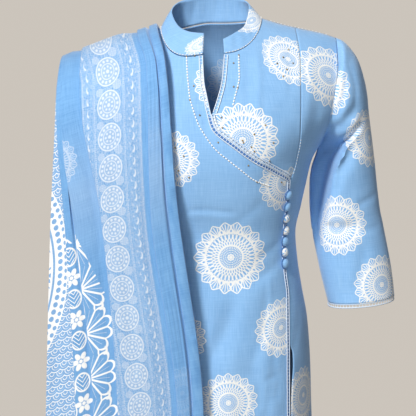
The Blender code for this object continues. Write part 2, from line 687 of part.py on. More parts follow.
# ---- dupatta --------------------------------------------------------------------------------------
LAYER_PITCH = 0.0018
DUPATTA_CLEARANCE = 0.0012
DUPATTA_TOP = (
    # distance from the centre, height of the base sheet where it crosses the shoulder
    (0.000, 0.0190),
    (0.055, 0.0060),
    (0.085, -0.0050),
    (0.109, -0.0125),
    (0.131, -0.0175),
    (0.152, -0.0250),
    (0.177, -0.0345),
    (0.205, -0.0455),
    (0.245, -0.0620),
)
DUPATTA_STATIONS = [("front", d) for d in (DUPATTA_DROP_FRONT, 0.90, 0.70, 0.52, 0.37, 0.25, 0.165,
                                           0.105, 0.064, 0.032, 0.010, 0.0)]
DUPATTA_STATIONS += [("back", d) for d in (0.010, 0.034, 0.072, 0.125, 0.22, 0.40, 0.75,
                                           DUPATTA_DROP_BACK)]
PLEAT_LEVELS = (0.0, 0.050, 0.235, 0.53, 1.12)


def pleat_x(row, drop):
    """x of one pleat point when the cloth has come down by drop."""
    return read([(PLEAT_LEVELS[i], row[1 + i]) for i in range(5)], drop)


def sheet_point(x, face, drop):
    """Smooth sheet over the shoulder, front and back, that the pleats lie on."""
    z = read(DUPATTA_TOP, -x) - drop
    table = DUPATTA_FRONT if face == "front" else DUPATTA_BACK
    t = min(max(-x / 0.235, 0.0), 1.0)
    inner, outer = read(table, z, 1), read(table, z, 2)
    depth = inner + (outer - inner) * t * t
    below = min(drop / DUPATTA_ROUND, 1.0)
    y = depth * math.sqrt(max(1 - (1 - below) ** 2, 0.0))
    return Vector((x, -y if face == "front" else y, z))


def sheet_normal(x, face, drop):
    e = 0.002
    if drop < 1e-6:
        edge = sheet_point(x + e, face, 0.0) - sheet_point(x - e, face, 0.0)
        return Vector((-edge.z, 0, edge.x)).normalized()
    across = sheet_point(x + e, face, drop) - sheet_point(x - e, face, drop)
    down = sheet_point(x, face, drop + e / 2) - sheet_point(x, face, max(drop - e / 2, 0.0))
    normal = across.cross(down).normalized()
    if normal.dot(Vector((-0.05, -1 if face == "front" else 1, 0.3))) < 0:
        normal.negate()
    return normal


def steps(start, end, widest):
    """Points after start, up to and with end, no further apart than the widest part needs."""
    count = max(1, math.ceil(widest / 0.036))
    return [(start[0] + (end[0] - start[0]) * k / count, start[1] + (end[1] - start[1]) * k / count)
            for k in range(1, count + 1)]


def widest_gap(first, second):
    return max(abs(first[c] - second[c]) for c in range(1, 6))


def pleat_section(drop):
    """Middle line of the folded cloth, in (x, height over the base sheet)."""
    rows = DUPATTA_PLEATS
    xs = [pleat_x(row, drop) for row in rows]
    top, mid, low, bottom = (LAYER_PITCH * k for k in (3, 2, 1, 0))
    bend = 0.45 * LAYER_PITCH
    line = [(xs[0], bottom)]
    line += steps(line[-1], (xs[1], bottom), widest_gap(rows[0], rows[1]))
    line += [(xs[1] + bend, 0.3 * top), (xs[1] + bend, 0.7 * top), (xs[1], top)]
    line.append((xs[2], top))
    for k in range(2, len(rows) - 2, 2):
        fold, turn, coming = xs[k], xs[k + 1], xs[k + 2]
        last = k + 4 > len(rows) - 1
        line += [(fold - bend, (top + mid) / 2), (fold, mid)]
        line += steps(line[-1], (turn, mid), widest_gap(rows[k], rows[k + 1]))
        line += [(turn + bend, (mid + low) / 2), (turn, low)]
        out_at = fold - 0.0028
        line += steps(line[-1], (out_at, low), widest_gap(rows[k], rows[k + 1]))
        if last:
            line += steps(line[-1], (coming, low), widest_gap(rows[k], rows[k + 2]))
        else:
            risen = xs[k + 3] + 0.0022
            line += steps(line[-1], (risen, top), widest_gap(rows[k], rows[k + 3]))
            line += steps(line[-1], (coming, top), widest_gap(rows[k + 3], rows[k + 2]))
    line += [(xs[-2] - bend, (low + bottom) / 2), (xs[-2], bottom)]
    line += steps(line[-1], (xs[-1], bottom), widest_gap(rows[-2], rows[-1]))
    return line


def offset_line(line, distance):
    out = []
    for i, (x, n) in enumerate(line):
        before = line[max(i - 1, 0)]
        after = line[min(i + 1, len(line) - 1)]
        ways = []
        for a, b in ((before, (x, n)), ((x, n), after)):
            dx, dn = b[0] - a[0], b[1] - a[1]
            length = math.hypot(dx, dn)
            if length > 1e-9:
                ways.append((-dn / length, dx / length))
        sx, sn = sum(w[0] for w in ways), sum(w[1] for w in ways)
        size = math.hypot(sx, sn)
        sx, sn = sx / size, sn / size
        mitre = max(sx * ways[0][0] + sn * ways[0][1], 0.6)
        out.append((x + sx * distance / mitre, n + sn * distance / mitre))
    return out


def make_dupatta(cloth):
    outside, inside = [], []
    for face, drop in DUPATTA_STATIONS:
        line = pleat_section(drop)
        for rows, distance in ((outside, DUPATTA_WALL / 2), (inside, -DUPATTA_WALL / 2)):
            rows.append([sheet_point(x, face, drop)
                         + sheet_normal(x, face, drop) * (DUPATTA_CLEARANCE + height)
                         for x, height in offset_line(line, distance)])
    wall("dupatta", outside, inside, cloth)


# ---- build ----------------------------------------------------------------------------------------
for old in list(bpy.data.objects):
    bpy.data.objects.remove(old, do_unlink=True)

kameez_cloth = material("kameez cotton", (0.27, 0.51, 0.82), 0.8)
salwar_cloth = material("salwar cotton", (0.30, 0.54, 0.84), 0.8)
dupatta_cloth = material("dupatta cotton", (0.32, 0.56, 0.86), 0.75)
make_kameez(kameez_cloth)
make_sleeves(kameez_cloth)
make_collar(kameez_cloth)
make_buttons(kameez_cloth)
make_lace(material("cotton lace", (0.36, 0.60, 0.88), 0.8))
make_salwar(salwar_cloth)
make_dupatta(dupatta_cloth)
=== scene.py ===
import math
from functools import lru_cache, reduce
from types import SimpleNamespace

import bmesh
import bpy
from mathutils import Matrix, Vector, noise


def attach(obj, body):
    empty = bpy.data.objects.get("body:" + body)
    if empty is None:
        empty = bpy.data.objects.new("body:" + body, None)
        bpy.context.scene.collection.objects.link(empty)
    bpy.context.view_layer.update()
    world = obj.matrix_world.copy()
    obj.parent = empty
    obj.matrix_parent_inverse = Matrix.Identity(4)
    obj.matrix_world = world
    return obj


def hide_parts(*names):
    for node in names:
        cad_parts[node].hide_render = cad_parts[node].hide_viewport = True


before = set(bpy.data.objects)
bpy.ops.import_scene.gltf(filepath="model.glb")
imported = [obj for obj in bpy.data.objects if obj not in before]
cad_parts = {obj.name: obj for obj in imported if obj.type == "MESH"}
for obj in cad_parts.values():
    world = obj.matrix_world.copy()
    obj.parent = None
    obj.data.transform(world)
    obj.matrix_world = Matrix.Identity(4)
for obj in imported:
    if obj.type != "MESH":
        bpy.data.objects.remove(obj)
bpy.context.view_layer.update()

# ---- camera and light -----------------------------------------------------------------------------
DISTANCE, ELEVATION = 2.2, math.radians(8)
AIM = Vector((-0.0043, 0.0, -0.2571))
SENSOR, IMAGE_WIDTH, METRES_A_PIXEL = 36, 416, 0.00143

eye = AIM + Vector((0, -DISTANCE * math.cos(ELEVATION), DISTANCE * math.sin(ELEVATION)))
camera = bpy.data.objects.new("camera", bpy.data.cameras.new("camera"))
camera.data.lens = SENSOR * DISTANCE / METRES_A_PIXEL / IMAGE_WIDTH
camera.data.sensor_width = SENSOR
camera.location = eye
camera.rotation_euler = (AIM - eye).to_track_quat("-Z", "Y").to_euler()
bpy.context.scene.collection.objects.link(camera)
bpy.context.scene.camera = camera

LIGHTS = (
    # name, place, height it points at, size, power, colour
    ("key", (-1.32, -2.42, 1.75), -0.3, 0.6, 120, (1.0, 0.985, 0.96)),
    ("fill", (-0.3, -3.0, 0.8), -0.3, 1.6, 23, (0.95, 0.98, 1.0)),
    ("top", (0.5, 0.3, 2.2), -0.1, 1.0, 4, (1.0, 1.0, 1.0)),
    ("back", (0.6, 2.6, 0.6), -0.6, 2.0, 28, (1.0, 1.0, 1.0)),
)
for name, place, height, size, power, colour in LIGHTS:
    lamp = bpy.data.lights.new(name, "AREA")
    lamp.size, lamp.energy, lamp.color = size, power, colour
    obj = bpy.data.objects.new(name, lamp)
    obj.location = place
    obj.rotation_euler = (Vector((0, 0, height)) - Vector(place)).to_track_quat("-Z", "Y").to_euler()
    bpy.context.scene.collection.objects.link(obj)

BACKDROP, SKY_LIGHT, SKY_STRENGTH = (0.6, 0.555, 0.5, 1), (0.96, 0.98, 1.0, 1), 0.15
world = bpy.data.worlds.new("studio")
world.use_nodes = True
sky = world.node_tree
seen = sky.nodes.new("ShaderNodeBackground")
seen.inputs["Color"].default_value = BACKDROP
given = sky.nodes["Background"]
given.inputs["Color"].default_value = SKY_LIGHT
given.inputs["Strength"].default_value = SKY_STRENGTH
choose, ray = sky.nodes.new("ShaderNodeMixShader"), sky.nodes.new("ShaderNodeLightPath")
sky.links.new(ray.outputs["Is Camera Ray"], choose.inputs[0])
sky.links.new(given.outputs[0], choose.inputs[1])
sky.links.new(seen.outputs[0], choose.inputs[2])
sky.links.new(choose.outputs[0], sky.nodes["World Output"].inputs["Surface"])
bpy.context.scene.world = world
bpy.context.scene.view_settings.view_transform = "Standard"

# ---- driving dimensions -------------------------------------------------------------------------
SEAM = 0.0003
KAMEEZ_WALL, COLLAR_WALL, SALWAR_WALL, DUPATTA_WALL, TRIM_WALL = 0.001, 0.0015, 0.001, 0.0007, 0.0006
KAMEEZ_LENGTH = 1.1
ARMHOLE_DROP = 0.165
NECK_HALF = 0.07
NECK_FRONT_DROP, NECK_BACK_DROP = 0.048, 0.009
RIGHT_SHOULDER_DROP, RIGHT_SHOULDER_SLOPE = 0.01, 0.055
SHOULDER_ROUND = {"front": 0.1, "back": 0.085}
GIRTH_POWER = 2.6
LACE_WIDTH, LACE_PITCH = 0.0055, 0.0047
BUTTON_DIAMETER, BUTTON_RISE = 0.0138, 0.0056
SALWAR_TOP, SALWAR_BELT_BOTTOM, SALWAR_ANKLE = -0.365, -0.56, -1.385
DUPATTA_DROP_FRONT, DUPATTA_DROP_BACK, DUPATTA_ROUND = 1.12, 1.1, 0.08
LAYER_PITCH, DUPATTA_CLEARANCE = 0.0018, 0.0012
SMOOTH_UNDER = math.radians(55)  # edges bent further than this stay crisp


def metres(table):
    """The same table with its lengths, written in millimetres, turned into metres."""
    if isinstance(table, dict):
        return {key: metres(rows) for key, rows in table.items()}
    if isinstance(table, tuple):
        return tuple(map(metres, table))
    return table if isinstance(table, str) else round(table / 1000, 9)


TORSO = metres((
    # level, half width, front depth, back depth
    (40, 196, 66, 60), (0, 196, 74, 72), (-40, 196, 83, 83), (-80, 192, 98, 91), (-120, 181, 112, 96),
    (-150, 163, 118, 98), (-165, 154.6, 119, 98), (-186, 143.2, 118, 96), (-223, 134.5, 111, 89),
    (-251, 128.5, 103, 83), (-291, 120.8, 92, 78), (-331, 124.1, 91, 83), (-370, 130.4, 94, 92),
    (-416, 138.7, 99, 102), (-473, 143.3, 105, 112), (-560, 146.5, 110, 119), (-700, 155, 113, 122),
    (-900, 169, 117, 126), (-1110, 186, 122, 131),
))
SHOULDER = metres((
    # distance from the centre, height of the shoulder seam
    (-10, 33), (30, 25), (70, 12.7), (97, 4.5), (130, -3), (159, -9.5), (176, -15.2), (240, -40),
))
ARMHOLE = metres((
    # level, distance from the centre
    (0, 175.5), (-40, 176.5), (-80, 171.5), (-120, 165), (-150, 158), (-165, 154.6), (-200, 140),
))
MAIN_EDGE = metres((
    # level, x of the wide front panel's free edge
    (0, -11), (-40, -9.2), (-70, -5.1), (-105, 0.3), (-126, 5), (-159, 38.5), (-176, 62.2), (-190, 86.2),
    (-208, 108.5), (-240, 107), (-276, 103.5), (-305, 102.5), (-340, 105), (-374, 109), (-425, 109.5),
    (-536, 110.5), (-800, 120), (-1110, 134),
))
SLIT_LEFT_EDGE = metres(((0, 17.5), (-40, 14.2), (-70, 8.8), (-105, 0.9)))
PRINCESS_SEAM = metres((
    (0, 118), (-45, 122.8), (-90, 122.6), (-145, 121.8), (-185, 116), (-208, 109.5),
))
SLIT_OPENING = metres((
    # level, how far the side panel stands away from the front edge
    (-400, 0), (-440, 0.6), (-453, 4.6), (-470, 5.2), (-500, 3), (-540, 1.4), (-620, 6), (-800, 16), (-1110, 30),
))
# Folds and creases: start x, z, end x, z, half width across, depth inwards.
BROAD_FOLDS = metres({
    "front": (
        (118, -150, 80, -215, 18, 3), (90, -300, 30, -365, 20, 3), (20, -395, 75, -560, 26, 4.5),
        (-5, -400, -30, -640, 26, 5), (60, -640, 85, -1120, 34, 9), (0, -600, -5, -1120, 36, 10),
        (-80, -620, -100, -1120, 34, 9),
    ),
    "back": (
        (70, -270, 20, -330, 22, 3.5), (-75, -285, -15, -345, 24, 4), (55, -560, 80, -1120, 34, 9.5),
        (-10, -590, -20, -1120, 36, 10.5), (-85, -550, -105, -1120, 32, 9),
    ),
})
CREASES = metres({
    "front": (
        # bodice and chest panel
        (-31, -246.4, 28, -247.8, 4, 1.1), (-31, -254, 20, -255, 5, -0.6), (69, -230.7, 39, -265, 7.5, 1),
        (62, -30, 65.5, -110, 5, -1), (47, -42, 49, -115, 6, 1), (105, -22, 110, -84, 5.5, 0.9),
        (86, -108.5, 120, -135.5, 9, 1.2), (136, -30, 133, -120, 7, -1.2), (146, -100, 128, -176, 8, 2),
        (150, -130, 112, -205, 6, 1.2), (-60, -30, -48, -150, 9, 1.2), (-90, -60, -120, -180, 12, 1.6),
        # gathers let into the placket
        (-18, -90, -12, -119.7, 1.6, 1.2), (-12, -91, -6.2, -128, 1.6, 1.3), (-6.5, -98, -2.8, -133, 1.6, 1.2),
        (-22, -98, -16, -119, 1.6, 1), (-13.5, -108, -7.5, -136, 1.5, 0.9),
        # waist and lap
        (28.7, -372, 5.4, -455.4, 10.5, 2.6), (48, -372, 33, -470, 12, -1.6), (78.7, -365, 58.3, -475, 9.5, 2.4),
        (58, -472.5, 70.6, -520, 8, 2), (91.3, -472.5, 92.9, -512.3, 5, 1.4), (74.7, -489.5, 88.6, -481, 4, 1),
        (81.3, -345, 81.6, -400, 4, -1.1), (88, -430, 79, -540, 5.5, 1.3), (-7, -363.3, -4.3, -424.9, 3, 0.7),
        (2.5, -368.9, 3.9, -419.2, 3, -0.6), (-18, -368.9, -8.4, -453, 3.4, 0.8), (96, -290, 70, -318, 6, 1.3),
        (99, -318, 60, -352, 6.5, 1.2), (-35, -300, 10, -322, 7, 1), (118, -255, 126, -330, 5, 1.2),
        (114, -330, 128, -400, 5.5, -1), (125, -380, 118, -450, 5, 1.2), (124, -470, 132, -560, 7, 1.6),
        (-98, -290, -45, -330, 8, 1.8), (-105, -360, -70, -470, 12, 2.6),
        # skirt
        (40, -520, 34, -700, 12, 2.4), (84, -560, 102, -760, 11, 2.6), (-48, -560, -52, -820, 14, 3.4),
        (28, -700, 36, -980, 13, -3), (-36, -760, -52, -1060, 12, 2.8), (110, -780, 124, -1090, 11, 3),
        (-128, -600, -146, -900, 13, 3), (-62, -900, -70, -1120, 11, -2.6), (52, -930, 62, -1120, 10, 2.2),
        (150, -700, 160, -1050, 10, 2.4),
    ),
    "back": (
        (20, -40, 30, -150, 11, 1.2), (-45, -30, -58, -160, 12, 1.4), (120, -70, 90, -190, 11, 2.2),
        (-128, -80, -92, -200, 12, 2.4), (145, -140, 104, -215, 7, 1.6), (-143, -150, -100, -225, 7.5, 1.5),
        (100, -240, 40, -285, 8, 1.8), (104, -275, 30, -306, 7, 1.4), (-102, -250, -34, -292, 8.5, 1.8),
        (-106, -296, -40, -318, 7, 1.3), (4, -262, 0, -345, 10, -1.4), (60, -350, 80, -480, 12, 2.4),
        (-52, -345, -74, -500, 13, 2.6), (10, -400, 16, -600, 15, 2.6), (104, -420, 118, -640, 12, 2.8),
        (-112, -440, -128, -680, 12, 2.8), (26, -660, 30, -960, 13, -3), (-52, -700, -62, -1020, 13, 3.2),
        (108, -720, 124, -1080, 12, 3.4), (-134, -760, -150, -1100, 12, 3.2), (4, -900, 8, -1120, 10, 2.4),
    ),
})
SLEEVE_LEFT = metres((
    # outer line x, z; under line x, z; front depth, back depth; centre y; outward bow
    (185, -19, 154.5, -170, 53, 52, 0, 5.2), (195, -28.5, 151.5, -179, 53, 52, 0, 7),
    (206.5, -45, 148.5, -188, 55, 53, 0, 6), (215.5, -71, 145, -197, 56, 54, 1, 4.5),
    (220.5, -94, 143, -208, 56, 54, 2, 3), (223.5, -120, 142, -220, 55, 53, 3, 1.5),
    (232.2, -183, 142.5, -251, 52, 51, 5, 0), (236.8, -223, 144, -274, 50, 50, 5, 0),
    (241.5, -258, 146.5, -296, 48, 50, 4, 0), (245.5, -277, 148.5, -308, 47, 49, 2, 0),
    (256, -330, 156, -344, 46, 47, -4, 0), (260, -356, 161.8, -368, 45, 46, -7, 0),
    (262.5, -380, 167.6, -390, 44, 45, -10, 0),
))
SLEEVE_RIGHT = metres((
    (-183, -38.5, -154.5, -170.5, 50, 50, 0, 6), (-189.5, -45.5, -151.5, -180, 47, 49, 1, 7),
    (-196.5, -59, -148.5, -190, 47, 50, 3, 6), (-201.5, -81, -146.5, -200, 47, 51, 5, 4.5),
    (-204.5, -101, -145, -212, 47, 52, 7, 3), (-206, -128, -143.8, -225, 47, 52, 9, 1.5),
    (-207.2, -193, -142.4, -260, 47, 52, 11, 0), (-207.5, -233, -142.2, -285, 47, 52, 11, 0),
    (-208, -269, -142.4, -307, 47, 52, 10, 0), (-208.5, -288, -142.8, -319, 47, 51, 8, 0),
    (-210, -341, -144, -356, 46, 49, 2, 0), (-210.8, -367, -144.8, -378, 45, 48, -1, 0),
    (-211.5, -392, -145.5, -401, 44, 47, -4, 0),
))
SLEEVE_FOLDS = metres({
    "front": (
        (205, -105, 158, -158, 9.5, 5), (213, -113, 197, -156, 6, 2.2), (197, -156, 179.6, -203.7, 6.5, 2.4),
        (179.6, -203.7, 161.8, -242, 7, 2), (222, -118, 190, -195, 10, 2.6), (146, -292, 200, -275, 9, 3.5),
        (143.4, -286, 168, -276, 3.5, 2), (234, -230, 210, -248, 5, 1.4), (186, -166, 171, -200, 4.5, -1.2),
        (166, -180, 150, -250, 6, 1.4), (196, -62, 202, -104, 4, 1.2), (187, -52, 190, -96, 4, -1),
        (178, -125, 160, -196, 4, 1.4), (240, -275, 206, -288, 6, 1.2), (148, -140, 150, -262, 15, 11),
        (215, -300, 205, -372, 9, 1.4), (176, -316, 190, -376, 7, 1), (-195, -110, -160, -170, 11, 3.5),
        (-198, -150, -168, -215, 7, 2.2), (-150, -300, -186, -282, 8, 2.6), (-200, -240, -170, -262, 7, 1.6),
    ),
    "back": (
        (210, -130, 165, -190, 13, 4), (216, -155, 178, -215, 8, 2.4), (150, -300, 215, -285, 10, 3.5),
        (152, -318, 206, -306, 6, 2), (226, -220, 176, -250, 8, 1.8), (192, -50, 198, -110, 6, 1.4),
        (-198, -125, -162, -190, 12, 4), (-200, -160, -170, -215, 8, 2.2), (-150, -312, -200, -292, 9, 3),
        (-205, -230, -170, -255, 8, 1.8),
    ),
})
SLEEVE_TUCK = metres((
    # height, x of the diagonal fold, how far the cloth under the arm lies behind it
    (-130, 218, 0), (-146, 205, 12), (-164, 190, 42), (-190, 175, 64), (-240, 165, 64), (-285, 158, 44),
    (-340, 152, 0),
))
COLLAR = (
    # turn round the neck from the centre front in degrees, top x, y, z
    (-9.0, -0.01, -0.066, -0.0068), (-28.0, -0.0285, -0.0595, -0.005),
    (-55.0, -0.0455, -0.04, 0.003), (-90.0, -0.0556, -0.001, 0.023),
    (-135.0, -0.043, 0.033, 0.036), (-180.0, 0.0, 0.047, 0.042),
    (-225.0, 0.0425, 0.033, 0.039), (-270.0, 0.0535, -0.001, 0.0305),
    (-305.0, 0.0465, -0.04, 0.004), (-332.0, 0.0295, -0.059, -0.008),
    (-345.5, 0.0163, -0.066, -0.0147),
)
BUTTONS = metres((
    # level, x, height of the seat over the panel
    (-228, 108.5, 1.7), (-245, 107, 1.8), (-262, 105.8, 1.7), (-280, 104.7, 2.9), (-296, 103.8, 2.5),
    (-311.5, 104, 2.1), (-327.5, 105, 2),
))
LEG = (
    # level, how far the legs have parted, half width, front depth, back depth, centre y, gathers
    (-0.5609, 0.0, 0.1325, 0.092, 0.101, 0.0, 0.0), (-0.6, 0.12, 0.124, 0.086, 0.095, 0.0, 0.0025),
    (-0.65, 0.4, 0.103, 0.081, 0.09, 0.0, 0.003), (-0.69, 0.75, 0.082, 0.077, 0.084, 0.001, 0.0025),
    (-0.72, 1.0, 0.0718, 0.073, 0.081, 0.002, 0.002), (-0.84, 1.0, 0.073, 0.074, 0.081, 0.003, 0.004),
    (-0.97, 1.0, 0.076, 0.077, 0.083, 0.005, 0.005), (-1.09, 1.0, 0.08, 0.078, 0.084, 0.008, 0.006),
    (-1.19, 1.0, 0.078, 0.075, 0.082, 0.011, 0.007), (-1.28, 1.0, 0.067, 0.066, 0.073, 0.014, 0.0065),
    (-1.3447, 1.0, 0.056, 0.056, 0.063, 0.015, 0.0),
)
DUPATTA_PLEATS = metres((
    # x where it crosses the shoulder, at the collar bone, the chest, the hip and the hem
    ("inner selvage", -125, -115, -105, -85, -90), ("inner edge", -75, -62, -47, -11.5, 4),
    ("narrow fold", -84, -70, -58, -23.5, -10), ("narrow turn", -78, -65, -51, -15.5, 0),
    ("plain fold", -101, -85, -80, -45, -34), ("plain turn", -92.5, -76, -65, -32, -20),
    ("border fold", -177.5, -176, -146, -125.5, -120), ("border turn", -125, -120, -100, -78, -75),
    ("second fold", -204, -205, -183, -159, -158), ("second turn", -195, -195, -164, -141, -140),
    ("third fold", -206.5, -207.5, -196, -184, -190), ("third turn", -201, -201, -190, -170, -172),
    ("outer fold", -208.5, -209.5, -219, -229, -240), ("outer selvage", -135, -130, -124, -105, -110),
))
PLEAT_LEVELS = metres((0, 50, 235, 530, 1120))
DUPATTA_FRONT = metres((
    # level, depth at the inner edge, depth at the outer edge
    (30, 84, 66), (-40, 96, 70), (-80, 110, 75), (-125, 121.5, 80), (-170, 125.5, 83), (-300, 118.5, 86),
    (-560, 122.5, 92), (-1130, 136, 104),
))
DUPATTA_BACK = metres((
    (30, 82, 78), (-40, 94, 82), (-80, 101, 86), (-125, 105, 90), (-170, 108, 92), (-300, 112, 95),
    (-560, 132, 106), (-1130, 146, 120),
))
DUPATTA_TOP = metres((
    # distance from the centre, height where it crosses the shoulder
    (0, 19), (55, 6), (85, -5), (109, -12.5), (131, -17.5), (152, -25), (177, -34.5), (205, -45.5), (245, -62),
))


# ---- small helpers --------------------------------------------------------------------------------
@lru_cache(None)
def read(table, key, column=1):
    """Smooth curve through one column of a table, whose first column rises or falls."""
    keys = [row[0] for row in table]
    values = [row[column] for row in table]
    if keys[0] > keys[-1]:
        keys, values = keys[::-1], values[::-1]
    if key <= keys[0]:
        return values[0]
    if key >= keys[-1]:
        return values[-1]
    i = max(k for k in range(len(keys) - 1) if keys[k] <= key)

    def slope(k):
        lo, hi = max(k - 1, 0), min(k + 1, len(keys) - 1)
        rise = [(values[j + 1] - values[j]) / (keys[j + 1] - keys[j]) for j in range(lo, hi)]
        if len(rise) == 2:
            if rise[0] * rise[1] <= 0:
                return 0.0
            return 2 * rise[0] * rise[1] / (rise[0] + rise[1])
        return rise[0]

    span = keys[i + 1] - keys[i]
    t = (key - keys[i]) / span
    return ((1 + 2 * t) * (1 - t) ** 2 * values[i] + t * (1 - t) ** 2 * span * slope(i)
            + t * t * (3 - 2 * t) * values[i + 1] + t * t * (t - 1) * span * slope(i + 1))


def ease(t):
    t = min(max(t, 0.0), 1.0)
    return t * t * (3 - 2 * t)


def spread(start, end, count):
    return [start + (end - start) * i / (count - 1) for i in range(count)]


def running(points):
    """Lengths along a row of points, from its first one."""
    sums = [0.0]
    for a, b in zip(points, points[1:]):
        sums.append(sums[-1] + (b - a).length)
    return sums


FOLD_START, FOLD_END, FOLD_FADE, FOLD_WAVER = -0.15, 1.25, 0.35, 0.35  # shares of its length and half width


def fold_depth(folds, x, z):
    """How far the folds and creases press the cloth in at this place."""
    total = 0.0
    for x0, z0, x1, z1, half, depth in folds:
        reach = 3 * half
        if not (min(x0, x1) - reach < x < max(x0, x1) + reach):
            continue
        dx, dz = x1 - x0, z1 - z0
        length = math.hypot(dx, dz)
        along = ((x - x0) * dx + (z - z0) * dz) / (length * length)
        if not FOLD_START < along < FOLD_END:
            continue
        across = ((x - x0) * dz - (z - z0) * dx) / length
        across += FOLD_WAVER * half * math.sin(4.1 * along + 37 * half)
        ends = ease((along - FOLD_START) / FOLD_FADE) * ease((FOLD_END - along) / FOLD_FADE)
        total += depth * ends * math.exp(-(across / half) ** 2)
    return total


BROAD_CRUMPLE, FINE_CRUMPLE = 0.0011, 0.00035


def crumple(x, z, seed):
    """Soft unevenness of worn cotton."""
    return (BROAD_CRUMPLE * noise.noise(Vector((x * 17, z * 9, seed)))
            + FINE_CRUMPLE * noise.noise(Vector((x * 55, z * 30, seed + 7))))


# ---- meshes from grids ----------------------------------------------------------------------------
class Cloth:
    """A piece of cloth on a create_grid sheet, with its places and its own lengths across and down."""

    def __init__(self, name, place, us, vs, closed=False, flat=None, axis=None):
        self.name, self.closed = name, closed
        self.rows = [[place(u, v) for u in us] for v in vs]
        if closed:
            for row in self.rows:
                row[-1] = row[0].copy()
        if flat:
            pairs = [[flat(p.x, v) for p in row] for row, v in zip(self.rows, vs)]
            self.across = [[a for a, _b in line] for line in pairs]
            self.down = [[b for _a, b in line] for line in pairs]
            return
        if axis:
            self.unroll(Vector(axis).normalized())
            return
        self.across = [running(row) for row in self.rows]
        self.down = [[0.0] * len(us)]
        for above, row in zip(self.rows, self.rows[1:]):
            last = self.down[-1]
            self.down.append([last[c] - (row[c] - above[c]).length for c in range(len(us))])
        middle = min(range(len(us)), key=lambda c: abs(self.rows[len(vs) // 3][c].x)
                     + (9 if closed and c > len(us) // 2 else 0))
        for line in self.across:
            zero = line[middle]
            line[:] = [value - zero for value in line]

    def unroll(self, axis):
        """Lays a tube flat round its front middle, three quarters along each row."""
        side = Vector((axis.z, 0, -axis.x)) * (1 if axis.z > 0 else -1)
        middle = len(self.rows[0]) * 3 // 4
        self.across, self.down = [], []
        for row in self.rows:
            line = [0.0]
            for a, b in zip(row, row[1:]):
                line.append(line[-1] + math.hypot((b - a).dot(side), b.y - a.y))
            way = 1 if row[middle + 1].x > row[middle - 1].x else -1
            zero = row[middle].dot(side)
            self.across.append([zero + way * (value - line[middle]) for value in line])
            self.down.append([-p.dot(axis) for p in row])

    MIDDLE_Y = 0.004

    def near(self, x, z, front=True):
        """Across and down lengths of the spot at x, z on the front or back of the piece."""
        best = None
        for r, row in enumerate(self.rows):
            for c, p in enumerate(row):
                if self.closed and (p.y > self.MIDDLE_Y) == front:
                    continue
                gap = (p.x - x) ** 2 + (p.z - z) ** 2
                if best is None or gap < best[0]:
                    best = (gap, r, c)
        _gap, r, c = best
        p = self.rows[r][c]
        c2 = min(max(c, 1), len(self.rows[0]) - 2)
        row, line = self.rows[r], self.across[r]
        rising = (row[c2 + 1].x - row[c2 - 1].x) * (line[c2 + 1] - line[c2 - 1])
        way = 1 if rising >= 0 else -1
        return self.across[r][c] + way * (x - p.x), self.down[r][c] + (z - p.z)


def new_sheet(columns, rows):
    """Flat bmesh sheet of this many faces, and the (row, column) of each of its corners."""
    mesh = bmesh.new()
    bmesh.ops.create_grid(mesh, x_segments=columns, y_segments=rows, size=1.0)
    return mesh, {vert: (round((vert.co.y + 1) / 2 * rows), round((vert.co.x + 1) / 2 * columns))
                  for vert in mesh.verts}


def grid_mesh(cloth, inner_way=None, medallions=()):
    """bmesh of the cloth, with UV layers Cloth in metres and Print round the nearest medallion."""
    last_row, last_column = len(cloth.rows) - 1, len(cloth.rows[0]) - 1
    mesh, places = new_sheet(last_column, last_row)
    lengths = mesh.loops.layers.uv.new("Cloth")
    motif = mesh.loops.layers.uv.new("Print") if medallions else None
    spots = {vert: (last_row - r, c) for vert, (r, c) in places.items()}
    for vert, (r, c) in spots.items():
        vert.co = cloth.rows[r][c]
    for face in mesh.faces:
        here = [(cloth.across[r][c], cloth.down[r][c]) for r, c in (spots[lo.vert] for lo in face.loops)]
        for loop, uv in zip(face.loops, here):
            loop[lengths].uv = uv
        if motif:
            mu = sum(uv[0] for uv in here) / len(here)
            mv = sum(uv[1] for uv in here) / len(here)
            cu, cv, radius, turn = min(
                medallions, key=lambda m: ((mu - m[0]) ** 2 + (mv - m[1]) ** 2) / m[2] ** 2)
            co, si = math.cos(turn) / radius, math.sin(turn) / radius
            for loop, (u, v) in zip(face.loops, here):
                loop[motif].uv = ((u - cu) * co - (v - cv) * si, (u - cu) * si + (v - cv) * co)
    if cloth.closed:
        bmesh.ops.remove_doubles(mesh, verts=mesh.verts[:], dist=1e-7)
    bmesh.ops.recalc_face_normals(mesh, faces=mesh.faces[:])
    if inner_way:
        face_out(mesh, lambda f: -inner_way(f.calc_center_median()))
    return mesh


def face_out(mesh, outward):
    """Turns the whole surface over if most of it looks against outward(face)."""
    mesh.normal_update()
    if sum(f.normal.dot(outward(f)) * f.calc_area() for f in mesh.faces) < 0:
        bmesh.ops.reverse_faces(mesh, faces=mesh.faces[:])


pieces = {}


def settle(name, mesh, materials, slot, replaces=(), wall=None, offset=-1.0):
    """Turns a bmesh into a finished piece that rides on the suit, and keeps it in pieces."""
    data = bpy.data.meshes.new(name)
    mesh.to_mesh(data)
    mesh.free()
    for mat in materials:
        data.materials.append(mat)
    data.shade_smooth()
    data.set_sharp_from_angle(angle=SMOOTH_UNDER)
    obj = bpy.data.objects.new(name, data)
    bpy.context.scene.collection.objects.link(obj)
    if wall:
        solid = obj.modifiers.new("wall", "SOLIDIFY")
        solid.thickness, solid.offset = wall, offset
        solid.use_even_offset = False
        if len(materials) > 1:
            solid.material_offset = 1
    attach(obj, "root")
    if replaces:
        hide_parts(*replaces)
    pieces[name] = obj


# ---- surface of the kameez ------------------------------------------------------------------------
@lru_cache(None)
def shoulder_height(x):
    lower = ease(-x / NECK_HALF) * (RIGHT_SHOULDER_DROP + RIGHT_SHOULDER_SLOPE * abs(x))
    return read(SHOULDER, abs(x)) - lower


